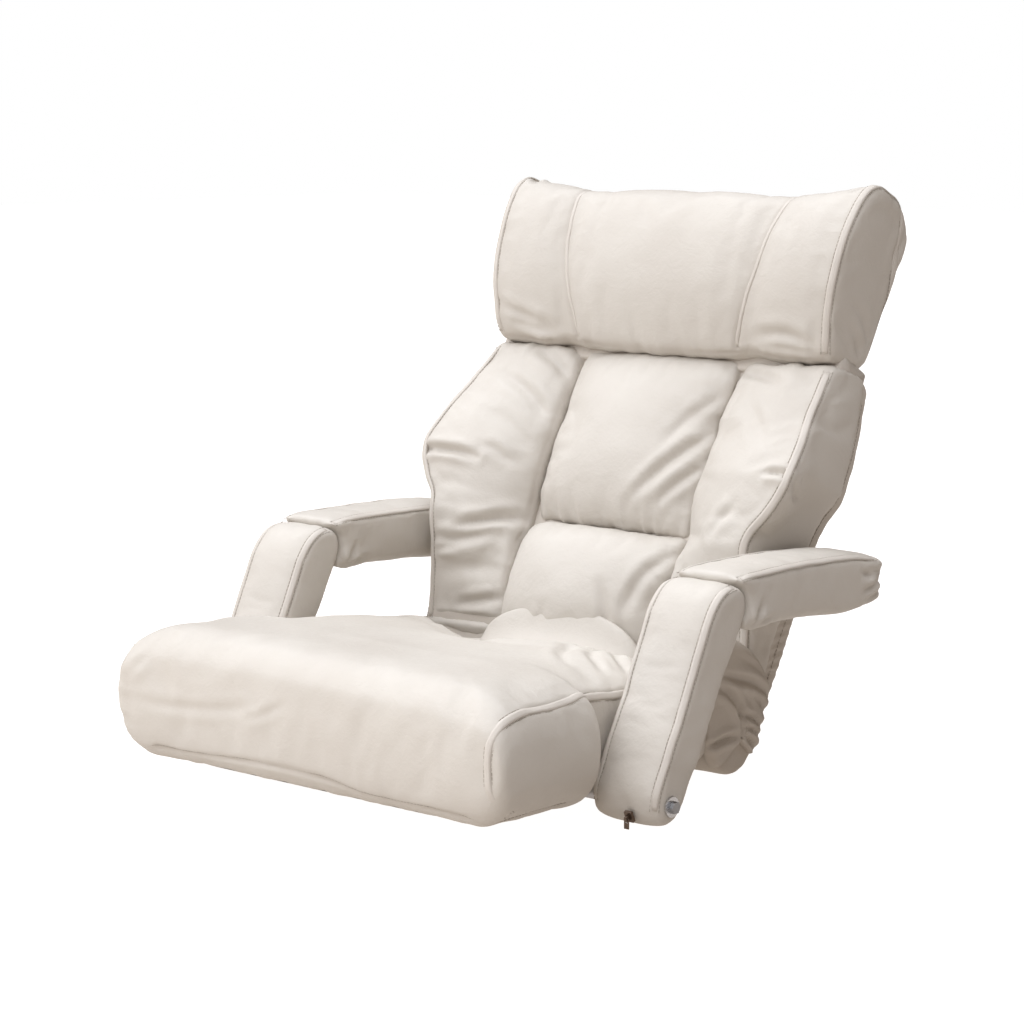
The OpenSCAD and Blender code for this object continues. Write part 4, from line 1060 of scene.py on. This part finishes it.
def arm_cover(name, outline, side, body, replaced, welts, gathers, seed, folds=()):
    piece = slab(name, outline, across, at_x, 120)
    k = np.array([side, 1, 1])
    if side < 0:
        set_coords(piece, coords(piece) * k)
        piece.data.flip_normals()
    paths = [p * k for p in welts]
    stuff(piece, 0.0045, paths, grow=0.02, pressure=3.0, cap=0.006, pin=0.005)
    sew(piece, [seam(p, 0.0016, 0.0010, 0.030, 0.014) for p in paths]
        + [seam(p * k, 0.001, *size) for p, *size in gathers], soft=0.0012, seed=seed)
    press(piece, [(p * k, d, w) for p, d, w in folds])
    upholster(piece, body, replaced)
    for i, p in enumerate(paths):
        welt(f"{name}_welt_{i + 1}", piece, body, p, half=0.0040, high=0.0020)


front = [by_post(a, r) for a, r in [
    (-0.012, -0.020), (0.004, -0.0245), (0.05, -0.0245), (0.10, -0.0245), (0.15, -0.0262),
    (0.196, -0.0272), (0.213, -0.0240), (0.228, -0.0160), (0.2375, -0.0040)]]
back_low = [by_post(a, r) for a, r in [(0.03, 0.0275), (0.10, 0.028), (0.19, 0.0285)]]
top = spots((FRONT_END, 20, TOP, 0), (FRONT_END, 60, TOP, 2), (FRONT_END, 120, TOP, 3), (PIN, -30, TOP, 0),
            (END, -22, TOP, -6))
end = spots((END, -22, TOP, -4), (END, -2, TOP, -18), (END, -14, LOW, 26), (END, -8, LOW, 6))
# Folds that run out from the notch in the rear end, and from the crook under the elbow
notch, crook = (END, -14, LOW, 26), (FRONT_END, 30, LOW, 1)
gathered = [spots(*rows) for rows in (
    (notch, (END, -30, LOW, 30), (END, -50, LOW, 36)), (notch, (END, -28, LOW, 20), (END, -46, LOW, 14)),
    ((END, -10, LOW, 12), (END, -24, LOW, 9), (END, -40, LOW, 4)),
    ((END, -6, TOP, -20), (END, -20, TOP, -22), (END, -36, TOP, -18)),
    (crook, (FRONT_END, 27, LOW, 14), (FRONT_END, 24, LOW, 34)),
    (crook, (FRONT_END, 42, LOW, 12), (FRONT_END, 50, LOW, 26)),
    (crook, (FRONT_END, 50, LOW, 4), (FRONT_END, 72, LOW, 8)))]
tucks = [(at_x(x, p), 0.0034, 0.0036) for p in gathered for x in (ARM_OUT, ARM_IN + 0.001)]
for side, word in ((1, "right"), (-1, "left")):
    arm_cover("post_cover_" + word, post_side, side, "arm_post_" + word, ["post_pad_" + word],
              [at_x(x, front) for x in (ARM_OUT - 0.005, ARM_IN + 0.005)],
              [(at_x(ARM_OUT - 0.004, back_low), 0.0010, 0.03, 0.02)], 71)
    arm_cover("forearm_cover_" + word, fore_side, side, "forearm_" + word, ["forearm_pad_" + word],
              [at_x(x, top) for x in (ARM_OUT - 0.005, ARM_IN + 0.005)],
              [(at_x(x, end), 0.0014, 0.016, 0.016) for x in (ARM_OUT - 0.004, ARM_IN + 0.004)], 81, tucks)
print("covers done")

# %% [markdown]
# ## Fabric across the recline hinge
# A gathered leather gusset closes each side between the seat and the back, and a soft fold fills the crease
# between the seat and the lower pad.

# %% Gussets and crease
GUSSET_IN, GUSSET_OUT = 0.236, 0.2430
reach_at = [-40, -10, 10, 27, 40, 46, 66, 95, 110, 130, 160, 190, 215]
reach_of = [0.032, 0.034, 0.038, 0.049, 0.067, 0.079, 0.091, 0.112, 0.104, 0.080, 0.060, 0.050, 0.046]
# Folds of the gusset in the side view in mm, as [points (y, z), depth, width]
gusset_folds = [
    ([(110, 121), (135, 117), (175, 106), (197, 94), (207, 87), (214, 78)], 5, 4.2),
    ([(100, 112), (127, 105), (149, 88), (158, 73), (159, 56)], 5.2, 4.2),
    ([(153, 76), (180, 64), (198, 50)], 4.4, 3.4),
    ([(160, 60), (180, 52), (198, 40)], 3.6, 3),
    ([(162, 52), (177, 38), (187, 24)], 3.4, 3),
    ([(180, 92), (194, 78), (203, 64)], 3, 3.4),
    ([(150, 140), (190, 118), (212, 96)], 2, 5),
    ([(78, 43), (98, 44), (128, 50), (156, 50)], 4.4, 3.6),
]


def bridge(piece, material, slot, first, second, start, end):
    """Leather that lies between two bodies: it gets its material, and its transform is baked into its points."""
    dress(piece, material)
    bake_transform(piece)


def gusset(name, side, seed):
    """A soft side panel round the recline hinge, gathered in arcs between the seat and the back."""
    angles = np.radians(np.linspace(-40, 215, 128))
    reach = np.interp(np.degrees(angles), reach_at, reach_of)
    if side < 0:
        # On this side the fold is tucked in behind the wing
        reach *= 1 - 0.40 * bump(np.degrees(angles) - 100, 36)
    front = []
    for r in np.linspace(0.003, 1.0, 44):
        plump = 0.0016 + 0.0052 * (1 - max(0.0, (r - 0.80) / 0.20) ** 2) - 0.0035 * max(0.0, (r - 0.92) / 0.08)
        front.append([(GUSSET_OUT + plump - 0.004 * smooth((r * d - 0.06) / 0.06), RECLINE[0] + r * d * math.cos(a),
                       max(RECLINE[1] + r * d * math.sin(a), 0.005)) for a, d in zip(angles, reach)])
    n, front = len(angles), np.array(front)
    rear = front * [0, 1, 1] + [GUSSET_IN, 0, 0]
    points = np.vstack([front.reshape(-1, 3), rear.reshape(-1, 3)]) * [side, 1, 1]
    rows, count = len(front), len(front) * n
    faces = []
    for j in range(rows - 1):
        for i in range(n - 1):
            a, b, c, d = j * n + i, j * n + i + 1, (j + 1) * n + i + 1, (j + 1) * n + i
            faces += [(a, b, c, d), (a + count, d + count, c + count, b + count)]
    border = list(range(n)) + [j * n + n - 1 for j in range(1, rows)]
    border += [(rows - 1) * n + i for i in range(n - 2, -1, -1)] + [j * n for j in range(rows - 2, 0, -1)]
    for a, b in zip(border, border[1:] + border[:1]):
        faces.append((a, a + count, b + count, b))
    piece = closed(name, points, faces)
    sew(piece, [], soft=0.0006, seed=seed)
    press(piece, by_hand(gusset_folds, lambda outline: at_x(side * 0.2495, outline)))
    # The gusset takes the darker copy of the leather, painted shade
    bridge(piece, under, "leather_under", "seat", "back",
           (0, RECLINE[0] - 0.045, RECLINE[1] + 0.012), (0, RECLINE[0] + 0.020, RECLINE[1] + 0.030))


gusset("gusset_right", 1, 91)
gusset("gusset_left", -1, 92)


def crease_ring(x):
    """Section of the fold between the seat's rear edge and the lower pad, full in the middle and low at its ends."""
    low = np.array([(98, 60), (100, 82), (112, 94), (126, 92), (136, 100), (150, 112), (160, 104), (156, 92), (140, 80),
                    (126, 74), (112, 62)]) / 1000
    full = np.array([(94, 68), (90, 94), (101, 110), (119, 120), (135, 138), (148, 171), (160, 152), (158, 118),
                     (145, 95), (130, 80), (112, 66)]) / 1000
    base = low + (full - low) * math.sqrt(max(0, 1 - (x / 0.118) ** 2))
    wobble = 0.002 * noise([[x, 0, 0]], 0.03, 95)[0]
    return at_x(x, closed_path(base, 44) + [0, wobble])


crease = finer(skin("crease_fold", [crease_ring(x) for x in np.linspace(-0.222, 0.222, 75)]))
sew(crease, [], soft=0.002, seed=96)
bridge(crease, cream, "leather", "seat", "back", (0, 0.104, 0.09), (0, 0.144, 0.150))

# The band between the back's top and the head cushion, as [v, w] on the back
band_side = np.array([(-26, 412), (20, 412), (27, 420), (22, 428), (26, 437), (-22, 440), (-26, 430), (-22, 424),
                      (-26, 418)]) / 1000
band_ring = closed_path(band_side, 40)
head_crease = skin("head_crease", [on_back(at_x(x, band_ring)) for x in np.linspace(-0.2505, 0.2505, 84)])
sew(head_crease, [], soft=0.002, seed=97)
# The band takes the darker copy of the leather, painted shade
bridge(head_crease, under, "leather_under", "back", "head", *on_back([(0, 0, 0.417), (0, 0, 0.436)]))
print("folds done")

# %% [markdown]
# ## Stitch rows
# The rows were collected while the welts were laid. Each body gets one mesh of threads.

# %% Lay the threads
tree = stitch_tree(thread)
for body, lines in threads.items():
    piece = lines_piece("threads_" + body, lines)
    run_tree(piece, tree, Pitch=0.0046, Length=0.0032, Thickness=0.0004)
    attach(piece, body)
    print(piece.name, len(piece.data.polygons), "faces")

# %% [markdown]
# ## Room, light and camera
# The photograph is a catalogue picture: white all round, one large soft light from the upper left, and a
# long lens from a little above the chair.

# %% Floor, lights, camera
floor = new_piece("floor", [(x, y, -0.0005) for x, y in ((-14, -14), (14, -14), (14, 14), (-14, 14))],
                  faces=[(0, 1, 2, 3)])
pale, t, shade = shader("pale_floor", (0.20, 0.195, 0.19), 0.9)
# The floor looks white to the camera. It throws most of its light back from in front of the chair
spot = node(t, "ShaderNodeSeparateXYZ", [(place_in(t), "Vector")])
ahead, inside = ramp(t, spot.outputs["Y"], 0, 1, -0.20, -0.60), ramp(t, spot.outputs["X"], 0, 1, 0.50, 0.25)
both = node(t, "ShaderNodeMath", [(ahead, 0), (inside, 1)], operation="MULTIPLY").outputs[0]
seen = node(t, "ShaderNodeLightPath").outputs["Is Camera Ray"]
lit = node(t, "ShaderNodeMix", [(seen, "Factor"), (ramp(t, both, 0.42, 1.35, 0, 1), 2)])
lit.inputs[3].default_value = 1.0
bounce = tinted(t, both, (1.0, 0.88, 0.78), (1.0, 0.94, 0.89))
warm = node(t, "ShaderNodeMix", [(seen, "Factor"), (bounce, 6)], data_type="RGBA")
warm.inputs[7].default_value = (1.0, 0.98, 0.97, 1)
feed(t, shade, Roughness=ramp(t, clouds(t, place_in(t), 4.0, 2.0), 0.86, 0.92, 0, 1),
     Emission_Strength=lit.outputs[0], Emission_Color=warm.outputs[2])
floor.data.materials.append(pale)

world = bpy.data.worlds.new("studio")
scene.world = world
world.use_nodes = True
sky = world.node_tree
seen = node(sky, "ShaderNodeLightPath").outputs["Is Camera Ray"]
feed(sky, sky.nodes["Background"], Color=tinted(sky, seen, (0.12, 0.088, 0.064), (1.0, 1.0, 1.0)))

sun = bpy.data.lights.new("window", "SUN")
sun.energy, sun.angle, sun.color = 4.9, math.radians(104), (0.945, 0.975, 1.03)
window = bpy.data.objects.new("window", sun)
window.rotation_euler = Vector((-0.24, -0.30, 0.92)).to_track_quat("Z", "Y").to_euler()
scene.collection.objects.link(window)

# The camera fitted to the photograph. Its focal length and the picture's width are in pixels
turn, dip, focal, wide = 0.73724955, 0.14052451, 2920.3866, 1024
back_way = Vector((math.sin(turn) * math.cos(dip), -math.cos(turn) * math.cos(dip), math.sin(dip)))
lens = bpy.data.cameras.new("photo_camera")
lens.sensor_width, lens.lens, lens.clip_end = 36.0, 36.0 * focal / wide, 60
camera = bpy.data.objects.new("photo_camera", lens)
camera.location = (2.138810, -2.289024, 0.728882)
camera.rotation_euler = back_way.to_track_quat("Z", "Y").to_euler()
scene.collection.objects.link(camera)
scene.camera = camera
scene.view_settings.view_transform = "Standard"
print("camera at", tuple(round(v, 3) for v in camera.location))
